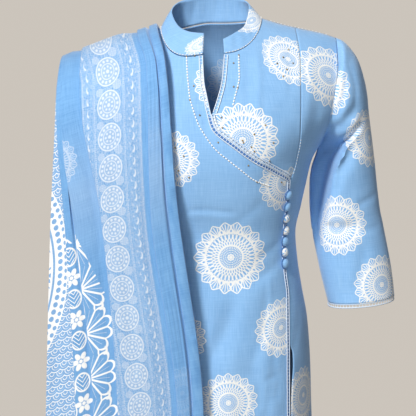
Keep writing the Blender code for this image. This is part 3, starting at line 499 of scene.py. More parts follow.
def top_edge(x, face):
    if abs(x) >= NECK_HALF:
        return shoulder_height(x)
    drop = NECK_FRONT_DROP if face == "front" else NECK_BACK_DROP
    left, right = shoulder_height(NECK_HALF), shoulder_height(-NECK_HALF)
    corner = right + (left - right) * ease((x + NECK_HALF) / NECK_HALF)
    return corner - drop * (1 - (abs(x) / NECK_HALF) ** 3) ** 0.6


def kameez_point(x, level, face, creased=True):
    half = read(TORSO, level, 1)
    fade = 1 - ease(-level / ARMHOLE_DROP)
    z = level + top_edge(x, face) * fade
    column = 2 if face == "front" else 3
    ratio = min(abs(x) / half, 1.0)
    girth = math.sqrt(max(1 - ratio ** GIRTH_POWER, 0.0))
    below = min(max(shoulder_height(x) - z, 0.0) / SHOULDER_ROUND[face], 1.0)
    rounding = math.sqrt(max(1 - (1 - below) ** 2, 0.0))
    depth = read(TORSO, z, column) * girth * rounding
    if creased:
        press = fold_depth(BROAD_FOLDS[face], x, z) + fold_depth(CREASES[face], x, z)
        press += crumple(x, z, 1.5 if face == "front" else 4.5) * (1 + 1.2 * ease((-0.45 - z) / 0.3))
        depth -= press * min(depth / 0.05, 1.0)
    y = depth + SEAM / 2
    return Vector((x, -y if face == "front" else y, z))


class FlatCloth:
    """The kameez laid flat: lengths across from the centre and up or down from the chest."""

    REACH, DEPTH, COLUMNS, ROWS, CHEST = 0.21, 1.11, 71, 112, 20

    def __init__(self, face):
        xs, levels = spread(-self.REACH, self.REACH, self.COLUMNS), spread(0.0, -self.DEPTH, self.ROWS)
        grid = [[kameez_point(x, level, face, False) for x in xs] for level in levels]
        self.across, self.up = [], [[0.0] * self.COLUMNS for _ in grid]
        for line in map(running, grid):
            self.across.append([value - line[self.COLUMNS // 2] for value in line])
        for c in range(self.COLUMNS):
            for r in range(self.CHEST + 1, self.ROWS):
                self.up[r][c] = self.up[r - 1][c] - (grid[r][c] - grid[r - 1][c]).length
            for r in range(self.CHEST - 1, -1, -1):
                self.up[r][c] = self.up[r + 1][c] + (grid[r][c] - grid[r + 1][c]).length

    def look(self, lengths, x, level):
        c = min(max((x + self.REACH) / 0.006, 0.0), self.COLUMNS - 1.001)
        r = min(max(-level / 0.01, 0.0), self.ROWS - 1.001)
        i, j = int(c), int(r)
        s, t = c - i, r - j
        return ((lengths[j][i] * (1 - s) + lengths[j][i + 1] * s) * (1 - t)
                + (lengths[j + 1][i] * (1 - s) + lengths[j + 1][i + 1] * s) * t)

    def __call__(self, x, level):
        """The up length is read no further out than the side of the chest."""
        inner = min(max(x, -0.112), 0.112)
        fade = 1 - ease(-level / ARMHOLE_DROP)
        step = (shoulder_height(x) - shoulder_height(inner)) * fade if inner != x else 0.0
        return self.look(self.across, x, level), self.look(self.up, inner, level) + step


def panel_place(face, left_of, right_of):
    def place(u, level):
        half = read(TORSO, level, 1)
        lo, hi = (math.asin(min(max(edge(level) / half, -1.0), 1.0)) for edge in (left_of, right_of))
        return kameez_point(half * math.sin(lo + (hi - lo) * u), level, face)
    return place


NORMAL_STEP = 0.002


def normal_out(across, down, way):
    """Normal of the surface that holds both directions, on the side that way points to."""
    normal = across.cross(down).normalized()
    if normal.dot(way) < 0:
        normal.negate()
    return normal


def surface_normal(x, level, face):
    here, e = kameez_point(x, level, face), NORMAL_STEP
    across = kameez_point(x + e, level, face) - kameez_point(x - e, level, face)
    down = kameez_point(x, level - e, face) - kameez_point(x, min(level + e, 0.0), face)
    return here, normal_out(across, down, Vector((0, -1 if face == "front" else 1, 0)))


HALVINGS = 24


def level_of(x, z, face="front"):
    """Level of the kameez whose place at x comes out at height z, found by halving."""
    lo, hi = -KAMEEZ_LENGTH, 0.0
    for _ in range(HALVINGS):
        level = (lo + hi) / 2
        if kameez_point(x, level, face, False).z < z:
            lo = level
        else:
            hi = level
    return level


def side_x(level):
    return read(ARMHOLE, level) if level > -ARMHOLE_DROP else read(TORSO, level, 1)


def main_edge(level):
    return read(MAIN_EDGE, level)


def princess(level):
    return read(PRINCESS_SEAM, level)


def side_panel_start(level):
    if level > -0.208:
        return princess(level) + 0.0001
    return main_edge(level) + 2 * SEAM + read(SLIT_OPENING, level)


def yoke_start(level):
    return read(SLIT_LEFT_EDGE, level) if level > -0.105 else main_edge(level) + 2 * SEAM


FINE_STEP, WIDE_STEP, FINE_DOWN_TO = 0.003, 0.0062, -0.57


def body_levels(end=-KAMEEZ_LENGTH):
    """Levels close together at the shoulder and down to the hips, wider below."""
    levels, level = [0.0, -0.0015], -0.004
    while level > end + 0.002:
        levels.append(level)
        level -= FINE_STEP if level > FINE_DOWN_TO else WIDE_STEP
    return levels + [end]


# ---- sleeves --------------------------------------------------------------------------------------
def armhole_point(angle, side):
    level = -ARMHOLE_DROP * (1 - math.cos(angle)) / 2
    face = "front" if angle <= math.pi else "back"
    point = kameez_point(side * read(ARMHOLE, level), level, face)
    return point + Vector((side * SEAM * 0.4, 0, 0))


def sleeve_place(table, side):
    rows = len(table)

    @lru_cache(None)
    def ring(angle, row):
        if row <= 0:
            return armhole_point(angle, side)
        ox, oz, ix, iz, front, back, cy, bow = table[min(row, rows) - 1]
        middle = Vector(((ox + ix) / 2, cy, (oz + iz) / 2))
        reach = Vector(((ox - ix) / 2, 0, (oz - iz) / 2))
        turn = math.sin(angle)
        y = -math.copysign((front if angle <= math.pi else back) * abs(turn) ** 0.85, turn)
        return middle + reach * math.cos(angle) + Vector((side * bow * turn * turn, y, 0))

    def place(angle, v):
        angle %= 2 * math.pi
        k = min(int(v), rows - 1)
        t = v - k
        p0, p1, p2, p3 = (ring(angle, max(k + j, 0)) for j in (-1, 0, 1, 2))
        m1 = (p2 - p0) / 2 if k > 0 else p2 - p1
        m2 = (p3 - p1) / 2 if k < rows - 1 else p2 - p1
        point = (p1 * ((1 + 2 * t) * (1 - t) ** 2) + m1 * (t * (1 - t) ** 2)
                 + p2 * (t * t * (3 - 2 * t)) + m2 * (t * t * (t - 1)))
        face = "front" if angle <= math.pi else "back"
        press = fold_depth(SLEEVE_FOLDS[face], point.x, point.z)
        press += crumple(point.x, point.z, 9.5 * side)
        press *= 1.5 * abs(math.sin(angle)) * ease(v / 0.6)
        tuck = 0.0
        if side > 0 and face == "front" and -0.34 < point.z < -0.13:
            tuck = read(SLEEVE_TUCK, point.z, 2) * abs(math.sin(angle)) ** 0.8 * ease(v / 2.5)
            tuck *= ease((read(SLEEVE_TUCK, point.z) + 0.003 - point.x) / 0.009)
        return point + Vector((-side * press * 0.25, press + tuck if face == "front" else -press, 0))
    return place


# ---- collar ---------------------------------------------------------------------------------------
def collar_place(turn, share):
    angle = math.radians(turn)
    face = "front" if math.cos(angle) > 0 else "back"
    base = kameez_point(NECK_HALF * math.sin(angle), 0.0, face) + Vector((0, 0, 4 * SEAM))
    top = Vector([read(COLLAR, turn, column) for column in (1, 2, 3)])
    point = base.lerp(top, share)
    out = Vector((math.sin(angle), -math.cos(angle), 0.15)).normalized()
    pull = 0.0007 * math.sin(turn * 0.31) * math.sin(turn * 0.113 + 1) * math.sin(math.pi * share)
    roll = 0.001 * math.sin(math.pi * share)
    return point + out * (roll + pull)


# ---- salwar ---------------------------------------------------------------------------------------
BELT_TAKE_IN, BELT_FLATTER, BELT_GATHER = 0.012, 0.004, 0.0006


def belt_place(angle, level):
    slack = 0.0012 + SEAM + 0.0003 + BELT_TAKE_IN * ease((SALWAR_TOP - level) / 0.06)
    half = read(TORSO, level, 1) - slack
    front, back = read(TORSO, level, 2) - slack - BELT_FLATTER, read(TORSO, level, 3) - slack - BELT_FLATTER
    girth = math.sqrt(max(1 - abs(math.cos(angle)) ** GIRTH_POWER, 0.0))
    gather = BELT_GATHER * math.sin(angle * 46 + 2 * math.sin(5 * angle)) * ease((level - SALWAR_TOP + 0.06) / 0.05)
    y = girth * (back - gather if math.sin(angle) > 0 else -front + gather)
    return Vector((half * math.cos(angle), y, level))


LEG_GAP, FINE_GATHER = 0.0006, 0.0011


def leg_place(side):
    def place(u, level):
        parted, half, front, back, cy, gather = (read(LEG, level, c) for c in range(1, 7))
        centre = half * parted
        limit = math.acos(max(-(centre - LEG_GAP) / half, -1.0)) if parted < 1 else math.pi - 0.004
        angle = -limit + 2 * limit * u
        ripple = gather * math.sin(9 * angle + 0.6 * math.sin(angle)) * math.cos(angle / 2)
        fine = FINE_GATHER * math.sin(23 * angle + 3 * math.sin(2 * angle) + side)
        ripple += fine * ease((-0.95 - level) / 0.35) * math.cos(angle / 2)
        ripple += 1.6 * crumple(angle * 0.08, level, 20 + side) * math.cos(angle / 2)
        reach = 1 + ripple / half
        x = max(centre + LEG_GAP + half * math.cos(angle) * reach, 0.0005)
        power = GIRTH_POWER + (2 - GIRTH_POWER) * parted
        girth = math.sqrt(max(1 - abs(math.cos(angle)) ** power, 0.0))
        y = girth * reach * (back if math.sin(angle) > 0 else -front)
        return Vector((side * x, cy + y, level))
    return place


def ankle_place(side):
    row = LEG[-1]

    def place(angle, level):
        half, front, back, cy = row[2] - 0.0005, row[3], row[4], row[5]
        depth = back if math.sin(angle) > 0 else front
        lower = 0.0015 * (row[0] - level) / 0.04
        return Vector((side * (half + 0.0011 + (half - lower) * math.cos(angle)),
                       cy + (depth - lower) * math.sin(angle), level))
    return place


# ---- dupatta --------------------------------------------------------------------------------------
@lru_cache(None)
def pleat_x(index, drop):
    row = DUPATTA_PLEATS[index]
    return read(tuple(zip(PLEAT_LEVELS, row[1:])), drop)


# a fold, the fold its pleat rises from, how far it stands proud
SWELLS = ((4, 2, 0.0022), (6, 4, 0.0046), (8, 6, 0.0042), (10, 8, 0.0046), (12, 10, 0.003))


@lru_cache(None)
def pleat_swell(x, face, drop):
    """How far the pleats stand proud: each rises slowly to its fold and falls away past it."""
    if face == "back":
        drop = drop * 0.9 + 0.02
    rise = 0.0
    for fold, far, height in SWELLS:
        at, start = pleat_x(fold, drop), pleat_x(far, drop)
        share = (x - start) / (at - start)
        if 0 <= share <= 1:
            rise += height * ease(share) * ease((drop - 0.02) / 0.25)
        elif share > 1:
            rise += height * math.exp(-((at - x) / 0.0055) ** 2) * ease((drop - 0.02) / 0.25)
    return rise


def sheet_point(x, face, drop):
    z = read(DUPATTA_TOP, -x) - drop
    table = DUPATTA_FRONT if face == "front" else DUPATTA_BACK
    t = min(max(-x / 0.235, 0.0), 1.0)
    inner, outer = read(table, z, 1), read(table, z, 2)
    below = min(drop / DUPATTA_ROUND, 1.0)
    y = (inner + (outer - inner) * t * t) * math.sqrt(max(1 - (1 - below) ** 2, 0.0))
    return Vector((x, -y if face == "front" else y, z))


def sheet_normal(x, face, drop):
    e = NORMAL_STEP
    if drop < 1e-6:
        edge = sheet_point(x + e, face, 0.0) - sheet_point(x - e, face, 0.0)
        return Vector((-edge.z, 0, edge.x)).normalized()
    across = sheet_point(x + e, face, drop) - sheet_point(x - e, face, drop)
    down = sheet_point(x, face, drop + e / 2) - sheet_point(x, face, max(drop - e / 2, 0.0))
    return normal_out(across, down, Vector((-0.05, -1 if face == "front" else 1, 0.3)))


def widest_gap(first, second):
    return max(abs(DUPATTA_PLEATS[first][c] - DUPATTA_PLEATS[second][c]) for c in range(1, 6))


PLEAT_SPACING, CLOSE_SPACING, CLOSE_PLEATS = 0.0046, 0.0015, (1, 2)


def pleat_section(drop):
    """Middle line of the folded cloth: (x, height over the sheet, pleat it belongs to)."""
    count = len(DUPATTA_PLEATS)
    xs = [pleat_x(i, drop) for i in range(count)]
    top, mid, low, bottom = (LAYER_PITCH * k for k in (3, 2, 1, 0))
    bend = 0.45 * LAYER_PITCH
    line = [(xs[0], bottom, 0)]

    def run(end, height, first, second, pleat):
        start = line[-1]
        spacing = CLOSE_SPACING if pleat in CLOSE_PLEATS else PLEAT_SPACING
        n = max(1, math.ceil(widest_gap(first, second) / spacing))
        for k in range(1, n + 1):
            line.append((start[0] + (end - start[0]) * k / n, start[1] + (height - start[1]) * k / n, pleat))

    def turn(x, way, low_at, high_at, pleat):
        """Rounded fold edge from one height to the other."""
        middle, half = (low_at + high_at) / 2, (high_at - low_at) / 2
        for a in (-45, 0, 45):
            a = math.radians(a)
            line.append((x + way * bend * math.cos(a), middle + half * math.sin(a), pleat))

    run(xs[1], bottom, 0, 1, 0)
    turn(xs[1], 1, bottom, top, 0)
    line.append((xs[1], top, 1))
    line.append((xs[2], top, 1))
    pleat = 1
    for k in range(2, count - 2, 2):
        fold, back_at, coming = xs[k], xs[k + 1], xs[k + 2]
        turn(fold, -1, top, mid, pleat)
        line.append((fold, mid, pleat))
        run(back_at, mid, k, k + 1, pleat)
        pleat += 1
        turn(back_at, 1, mid, low, pleat)
        line.append((back_at, low, pleat))
        run(fold - 0.0028, low, k, k + 1, pleat)
        if k + 4 > count - 1:
            run(coming, low, k, k + 2, pleat)
        else:
            run(xs[k + 3] + 0.0022, top, k, k + 3, pleat)
            run(coming, top, k + 3, k + 2, pleat)
    turn(xs[-2], -1, low, bottom, pleat)
    line.append((xs[-2], bottom, pleat))
    run(xs[-1], bottom, count - 2, count - 1, pleat)
    return line


# Creases of the folded-away cloth that still show: start x, z, end x, z, half width, depth.
DUPATTA_CREASES = metres((
    (-215, -88, -78, -38, 3.2, -0.9), (-215, -94, -78, -44, 4.5, 0.8), (-210, -121.4, -150, -116, 3.2, 0.8),
    (-210, -47.7, -165, -43.6, 3.2, 0.7), (-200, -210, -150, -170, 6, 1), (-180, -150, -156, -220, 6, 1.2),
    (-140, -120, -124, -260, 9, 1), (-120, -300, -102, -470, 8, 1.2), (-70, -80, -60, -240, 3, 0.8),
    (-64, -100, -48, -320, 2.4, -0.6), (-56, -240, -38, -440, 3, 0.9), (-42, -320, -24, -540, 2.6, 0.8),
    (-206, -220, -212, -520, 7, 1.6), (-216, -300, -220, -640, 6, 1.4), (-170, -360, -166, -600, 6, 1.2),
    (-140, -560, -138, -960, 11, 2.6), (-90, -600, -86, -1080, 12, 3), (-50, -700, -42, -1100, 9, 2.2),
))


RIPPLE, BROAD_UNEVEN, FINE_UNEVEN, LEAST_LIFT = 0.0006, 0.0007, 0.00025, 0.0006


def dupatta_place(face, drop, x, height):
    point = sheet_point(x, face, drop)
    lift = DUPATTA_CLEARANCE + height + pleat_swell(round(x, 5), face, drop)
    lift -= fold_depth(DUPATTA_CREASES, x, point.z) * (1 if face == "front" else 0.7)
    fade = ease(drop / 0.05)
    if x > pleat_x(4, drop) - 0.001 and face == "front":
        lift += RIPPLE * fade * math.sin((x - pleat_x(4, drop)) * 1250 + 1.3 * math.sin(point.z * 21)) * (
            0.6 + 0.4 * math.sin(point.z * 33 + x * 90))
    lift += fade * (BROAD_UNEVEN * noise.noise(Vector((x * 26, point.z * 8, 31)))
                    + FINE_UNEVEN * noise.noise(Vector((x * 120, point.z * 26, 37))))
    return point + sheet_normal(x, face, drop) * max(lift, LEAST_LIFT + height)


# ---- node helpers ---------------------------------------------------------------------------------
class Flow:
    """A number on its way through a node tree, so that a pattern reads as a formula."""

    def __init__(self, tree, socket):
        self.tree, self.socket = tree, socket

    def op(self, kind, *others, clamp=False):
        node = self.tree.nodes.new("ShaderNodeMath")
        node.operation, node.use_clamp = kind, clamp
        for i, value in enumerate((self, *others)):
            if isinstance(value, Flow):
                self.tree.links.new(value.socket, node.inputs[i])
            else:
                node.inputs[i].default_value = value
        return Flow(self.tree, node.outputs[0])

    def __rsub__(self, other):
        return (self * -1) + other

    def wrap(self, pitch):
        """Distance from the middle of the nearest cell of this pitch."""
        return self.op("WRAP", pitch / 2, -pitch / 2)

    def cell(self, pitch):
        return (self / pitch + 0.5).floor()

    def within(self, soft):
        """1 where the number is below zero, 0 above, with a soft edge."""
        return self.op("MULTIPLY_ADD", -1.0 / soft, 0.5, clamp=True)

    def band(self, half, soft):
        """1 where the number is less than half away from zero."""
        return (self.abs() - half).within(soft)

    def line(self, at, half, soft):
        return (self - at).band(half, soft)


for method, kind in {
    "__add__": "ADD", "__radd__": "ADD", "__sub__": "SUBTRACT", "__mul__": "MULTIPLY", "__rmul__": "MULTIPLY",
    "__truediv__": "DIVIDE", "abs": "ABSOLUTE", "sin": "SINE", "cos": "COSINE", "root": "SQRT",
    "power": "POWER", "most": "MAXIMUM", "least": "MINIMUM", "turned": "ARCTAN2", "floor": "FLOOR",
}.items():
    setattr(Flow, method, lambda self, *others, kind=kind: self.op(kind, *others))


def length2(a, b):
    return (a * a + b * b).root()


def most_of(masks):
    """The strongest of several masks at each spot.

    Each joins in as soon as it is made. A long pattern that keeps them all open at once takes
    more room than Cycles gives a material, which then turns black.
    """
    return reduce(Flow.most, masks)


def full(flow):
    """The same number, held at 1 or less."""
    return flow.op("MINIMUM", 1.0, clamp=True)


def split(tree, socket):
    node = tree.nodes.new("ShaderNodeSeparateXYZ")
    tree.links.new(socket, node.inputs[0])
    return Flow(tree, node.outputs[0]), Flow(tree, node.outputs[1])


def texture(tree, kind, vector, scale, **settings):
    node = tree.nodes.new(kind)
    tree.links.new(vector, node.inputs["Vector"])
    node.inputs["Scale"].default_value = scale
    for name, value in settings.items():
        if name in node.inputs:
            node.inputs[name].default_value = value
        else:
            setattr(node, name, value)
    return node


def noise_of(tree, vector, scale, **settings):
    return Flow(tree, texture(tree, "ShaderNodeTexNoise", vector, scale, **settings).outputs["Fac"])


def stretched(tree, vector, scale):
    node = tree.nodes.new("ShaderNodeMapping")
    tree.links.new(vector, node.inputs["Vector"])
    node.inputs["Scale"].default_value = scale
    return node.outputs[0]


def new_group(name, inputs, outputs):
    tree = bpy.data.node_groups.new(name, "ShaderNodeTree")
    for label, kind, value in inputs:
        item = tree.interface.new_socket(label, in_out="INPUT", socket_type=kind)
        if value is not None:
            item.default_value = value
    for label, kind in outputs:
        tree.interface.new_socket(label, in_out="OUTPUT", socket_type=kind)
    return tree, tree.nodes.new("NodeGroupInput"), tree.nodes.new("NodeGroupOutput")


def mask_group(name, draw):
    """Node group of one printed pattern, the most of the masks that draw(tree, vector) yields."""
    tree, given, out = new_group(name, [("Vector", "NodeSocketVector", None)], [("Mask", "NodeSocketFloat")])
    tree.links.new(most_of(draw(tree, given.outputs["Vector"])).socket, out.inputs["Mask"])
    return tree


def place_group(tree, group, **values):
    node = tree.nodes.new("ShaderNodeGroup")
    node.node_tree = group
    for name, value in values.items():
        socket = node.inputs[name.replace("_", " ")]
        if isinstance(value, Flow):
            tree.links.new(value.socket, socket)
        elif isinstance(value, bpy.types.NodeSocket):
            tree.links.new(value, socket)
        else:
            socket.default_value = value
    return node


# ---- woven cotton ---------------------------------------------------------------------------------
def weave_group():
    """Plain weave with slubs: Shade runs round 0.5, Height is for bump."""
    tree, given, out = new_group(
        "cotton weave",
        [("Vector", "NodeSocketVector", None), ("Pitch", "NodeSocketFloat", 0.0006),
         ("Slub", "NodeSocketFloat", 1.0)],
        [("Shade", "NodeSocketFloat"), ("Height", "NodeSocketFloat")])
    vector = given.outputs["Vector"]
    u, v = split(tree, vector)
    pitch = Flow(tree, given.outputs["Pitch"])
    over = ((u * math.pi) / pitch).sin() * ((v * math.pi) / pitch).sin()
    warp, weft = (noise_of(tree, stretched(tree, vector, scale), 1.0, Detail=2.0, Roughness=0.55)
                  for scale in ((900, 34, 1), (28, 760, 1)))
    patch = noise_of(tree, vector, 14.0, Detail=3.0)
    slub = Flow(tree, given.outputs["Slub"])
    threads = (warp - 0.5) * 1.15 + (weft - 0.5) * 0.95
    shade = threads * slub + (patch - 0.5) * 0.45 + over * 0.05 + 0.5
    height = over * 0.3 + threads * 0.55 * slub + 0.5
    tree.links.new(shade.socket, out.inputs["Shade"])
    tree.links.new(height.socket, out.inputs["Height"])
    return tree


def petal_hole(across, r, at, half_long, half_wide, soft, taper=0.0):
    """Oval hole that lies along the radius, wider outwards when taper is above zero."""
    along = (r - at) / half_long
    wide = across / (half_wide * (1 + taper * along) if taper else half_wide)
    return (length2(wide, along) - 1).within(soft)


def mandala(tree, vector):
    """Round lace-like medallion of eighteen petals; Vector is 1 long at the petal tips."""
    wobble = noise_of(tree, vector, 7.0, Detail=1.0)
    x, y = split(tree, vector)
    wobble = wobble - 0.5
    x, y = x + wobble * 0.022, y - wobble * 0.022
    r = length2(x, y)
    angle = y.turned(x)

    def wedge(count, shift=0.0):
        """Distance across the nearest of this many wedges."""
        return (angle + shift * 2 * math.pi / count).wrap(2 * math.pi / count) * r

    across, next_one = wedge(18).abs(), wedge(18, 0.5)
    half_wedge = r * (math.pi / 18)
    neighbour = half_wedge + next_one.abs()
    # leaf-shaped outer petals that cross their neighbours, with a fan of thin strokes in each
    rising, closing = (r - 0.655) * 0.85, (1.005 - r) * 1.25
    wide = rising.least(closing).most(0.0)
    petal = (across - wide).within(0.01)
    outline = ((across - wide).abs() * 0.66 - 0.017).within(0.009)
    crossing = ((neighbour - wide).abs() * 0.66 - 0.011).within(0.009)
    outline = outline.most(crossing) * (r - 0.66).op("GREATER_THAN", 0.0) * (r - 1.004).within(0.01)
    up = r - 0.615
    fan_r, fan_a = length2(wedge(18), up), wedge(18).turned(up)
    strokes = (fan_a.wrap(0.29).abs() * fan_r - 0.0125).within(0.009) * fan_a.band(0.75, 0.05)
    strokes = strokes * (r - 0.95).within(0.02)
    between = (r - 0.835).within(0.01) * (1.0 - petal_hole(wedge(18, 0.5), r, 0.742, 0.046, 0.023, 0.35))
    outer = outline.most(strokes * petal).most(between * (1.0 - petal))
    # lattice of drops inwards of the petals
    holes = most_of(petal_hole(wedge(36, shift), r, *sizes) for shift, *sizes in (
        (0, 0.572, 0.078, 0.0265, 0.28, 0.35), (0.5, 0.47, 0.034, 0.017, 0.35),
        (0, 0.392, 0.042, 0.0155, 0.35), (0.5, 0.655, 0.026, 0.017, 0.35)))
    inner = (r - 0.672).within(0.012) * (1.0 - holes)
    white = (outer * (0.655 - r).within(0.012)).most(inner)
    # centre: white ring, then a pale disc with dotted rings round the core
    disc = (r - 0.3).within(0.012)
    ticks = petal_hole(wedge(36), r, 0.262, 0.034, 0.0115, 0.4)
    dots = most_of(petal_hole(wedge(count, shift), r, *sizes) for count, shift, *sizes in (
        (30, 0.5, 0.198, 0.017, 0.015, 0.4), (20, 0, 0.143, 0.016, 0.015, 0.4)))
    core = (r - 0.098 - (angle * 8).cos() * 0.008).within(0.02) * (1.0 - r.line(0.052, 0.006, 0.01) * 0.6)
    centre = ticks.most(dots).most(core)
    yield full(white * (1.0 - disc) + centre * disc)


def roundel(u, v, radius, spokes, soft=0.00035):
    """Pale roundel of fine rings and rings of dots round a small flower."""
    r = length2(u, v)
    angle = v.turned(u)
    inside = (r - radius).within(soft)

    def dots(count, at, size):
        across = angle.wrap(2 * math.pi / count) * r
        return (length2(across, r - radius * at) - radius * size).within(soft)

    def lines():
        yield r.line(radius * 0.95, radius * 0.05, soft)
        yield r.line(radius * 0.53, radius * 0.035, soft)
        yield dots(spokes, 0.74, 0.105)
        yield dots(spokes // 2, 0.33, 0.085)
        yield (r - radius * 0.13).within(soft)
        yield 0.34

    return inside * most_of(lines())


def dotted_line(u, v, at, pitch, soft=0.0003):
    dot = (length2(u - at, v.wrap(pitch)) - 0.00062).within(soft)
    return dot.most((u - at - 0.0017).band(0.00022, soft) * 0.75)


def comma(u, v, at, pitch, tall, wide, flip=1):
    """Column of small curled drops."""
    y = v.wrap(pitch)
    x = u - at
    body = (length2(x / wide, y / tall) - 1).within(0.25)
    bite = (length2((x - wide * 0.75 * flip) / wide, (y + tall * 0.35) / (tall * 0.8)) - 1).within(0.25)
    return body * (1.0 - bite)


def border(tree, vector):
    """The dupatta's printed border; Vector is the distance from its inner edge and along it."""
    u, v = split(tree, vector)
    pitch = 0.042
    yield dotted_line(u, v, 0.006, 0.0026)
    yield comma(u, v, 0.0165, 0.0165, 0.0052, 0.0023)
    yield comma(u, v + 0.008, 0.0205, 0.0165, 0.0021, 0.0014, flip=-1) * 0.8
    yield comma(u, v + 0.004, 0.012, 0.011, 0.0017, 0.0012) * 0.7
    yield dotted_line(u, v, 0.0275, 0.0026)
    yield roundel(u - 0.0495, v.wrap(pitch) * 0.9, 0.0168, 14)
    yield roundel(u - 0.0372, (v + pitch / 2 + 0.002).wrap(pitch), 0.0058, 8)
    yield roundel(u - 0.0625, (v + pitch / 2 - 0.002).wrap(pitch), 0.0048, 8)
    yield dotted_line(u, v, 0.07, 0.0026)
    yield comma(u, v + 0.003, 0.0795, 0.015, 0.0046, 0.0019, flip=-1)
    yield dotted_line(u, v, 0.0865, 0.0026)
    cells = texture(tree, "ShaderNodeTexVoronoi", vector, 420.0, feature="DISTANCE_TO_EDGE")
    haze = (Flow(tree, cells.outputs["Distance"]) - 0.11).within(0.1)
    body = (u - 0.046).abs().op("LESS_THAN", 0.042)
    yield haze * body * 0.42


def fans(tree, vector):
    """Large scalloped fans that open from the fold; Vector is in metres."""
    u, v = split(tree, vector)
    pitch = 0.064
    y = v.wrap(pitch)
    x = 0.039 - u
    r, a = length2(x, y), y.turned(x) + 0.25
    petal = a.wrap(0.5)
    scallop = 0.0405 - (petal * 4.0).power(2.0) * 0.008
    rim = (r - scallop).band(0.002, 0.0006)
    veins = (petal.abs() * r - 0.0003).within(0.0004) * (0.012 - r).within(0.001)
    veins = veins * (r - scallop + 0.008).within(0.0006)
    sides = ((a + 0.25).wrap(0.5).abs() * r - 0.0013).within(0.0005) * (r - scallop).within(0.0006)
    hub = (r - 0.0044).within(0.0006)
    yield rim
    yield sides
    yield veins * 0.55
    yield hub
    yield comma(u, v + pitch / 2, 0.012, pitch, 0.006, 0.0042)


def flowers(tree, vector):
    """Six-petalled flowers and long leaves for the narrow fold; Vector is in metres."""
    u, v = split(tree, vector)
    y, x = v.wrap(0.06), u - 0.012
    r, a = length2(x, y), y.turned(x)
    petal = a.wrap(math.pi / 3)
    flower = (length2((petal * r) / 0.0036, (r - 0.0085) / 0.005) - 1).within(0.25)
    eye = (r - 0.0026).within(0.0006)
    y2 = (v + 0.03).wrap(0.06)
    leaf = (length2(x / 0.0105, y2 / 0.0125) - 1)
    rim = leaf.band(0.1, 0.08)
    ribs = (y2 * 0.8 + x.abs() * 0.9).wrap(0.005).band(0.0006, 0.0005) * leaf.within(0.1)
    edge = (x - 0.0125 - (v * 190).sin() * 0.0016).band(0.0009, 0.0005)
    yield from (flower, eye, rim, ribs, edge)


def paisley(tree, vector):
    """White ground with blue arcs, dots, curls and a scale net; Vector is in metres."""
    u, v0 = split(tree, vector)
    v = v0.op("WRAP", 0.62, 0.0)
    x, y = 0.212 - u, v - 0.262
    ring, around = length2(x, y), y.turned(x)

    def beads(at, pitch, radius, shift=0.0):
        return (length2(ring - at, ((around + shift) * at).wrap(pitch)) - radius).within(0.0006)

    blue = beads(0.202, 0.0098, 0.0036).most(beads(0.2118, 0.0098, 0.003, 0.02))
    blue = blue.most(ring.line(0.1925, 0.0016, 0.0006))
    # inside the arc: curls and threes of dots
    px, py = u - 0.036, v.wrap(0.044)
    r, a = length2(px, py), py.turned(px)
    curl = ((r / 0.0042 - a / (2 * math.pi)).op("FRACT") - 0.5).band(0.21, 0.12)
    curl = curl * (r - 0.0112).within(0.0008)
    drop = (length2(px / 0.0175, py / 0.015) - 1).band(0.075, 0.05)
    qy = (v + 0.022).wrap(0.044)
    threes = (length2((u - 0.03).abs() - 0.0042, qy) - 0.003).within(0.0006)
    threes = threes.most((length2(u - 0.03, qy - 0.0066) - 0.003).within(0.0006))
    inner = curl.most(drop).most(threes)
    blue = blue.most(inner * (ring - 0.188).within(0.0008))
    # past the arc: blue ground with a fine scale net and curls
    row = v.cell(0.0105)
    cy = v - row * 0.0105 + 0.0052
    cx = (u + row.op("MODULO", 2.0) * 0.0066).wrap(0.0132)
    scale = length2(cx, cy)
    net = (scale - 0.0094).band(0.0006, 0.0005)
    swirl = ((scale / 0.0036 - cy.turned(cx) / (2 * math.pi)).op("FRACT") - 0.5).band(0.16, 0.1)
    swirl = swirl * (scale - 0.0062).within(0.0006)
    white = net.most(swirl * 0.9)
    blue = blue.most((1.0 - white) * (0.2165 - ring).within(0.0008))
    yield 1.0 - blue * 0.92


WEAVE, MANDALA = weave_group(), mask_group("mandala", mandala)
BORDER, FANS = mask_group("dupatta border", border), mask_group("scallop fans", fans)
FLOWERS, PAISLEY = mask_group("fold flowers", flowers), mask_group("paisley ground", paisley)


def uv_socket(tree, name):
    node = tree.nodes.new("ShaderNodeUVMap")
    node.uv_map = name
    return node.outputs[0]


def two_tone(tree, amount, low, high):
    node = tree.nodes.new("ShaderNodeMix")
    node.data_type = "RGBA"
    tree.links.new(amount.socket, node.inputs["Factor"])
    for socket, colour in ((node.inputs["A"], low), (node.inputs["B"], high)):
        if isinstance(colour, bpy.types.NodeSocket):
            tree.links.new(colour, socket)
        else:
            socket.default_value = (*colour, 1.0)
    return node.outputs["Result"]


def new_material(name):
    mat = bpy.data.materials.new(name)
    mat.use_nodes = True
    return mat, mat.node_tree, mat.node_tree.nodes["Principled BSDF"]


def object_socket(tree):
    return tree.nodes.new("ShaderNodeTexCoord").outputs["Object"]


BLUE_DEEP, BLUE_LIGHT = (0.19, 0.405, 0.715), (0.318, 0.555, 0.86)
INK = (0.9, 0.895, 0.875)


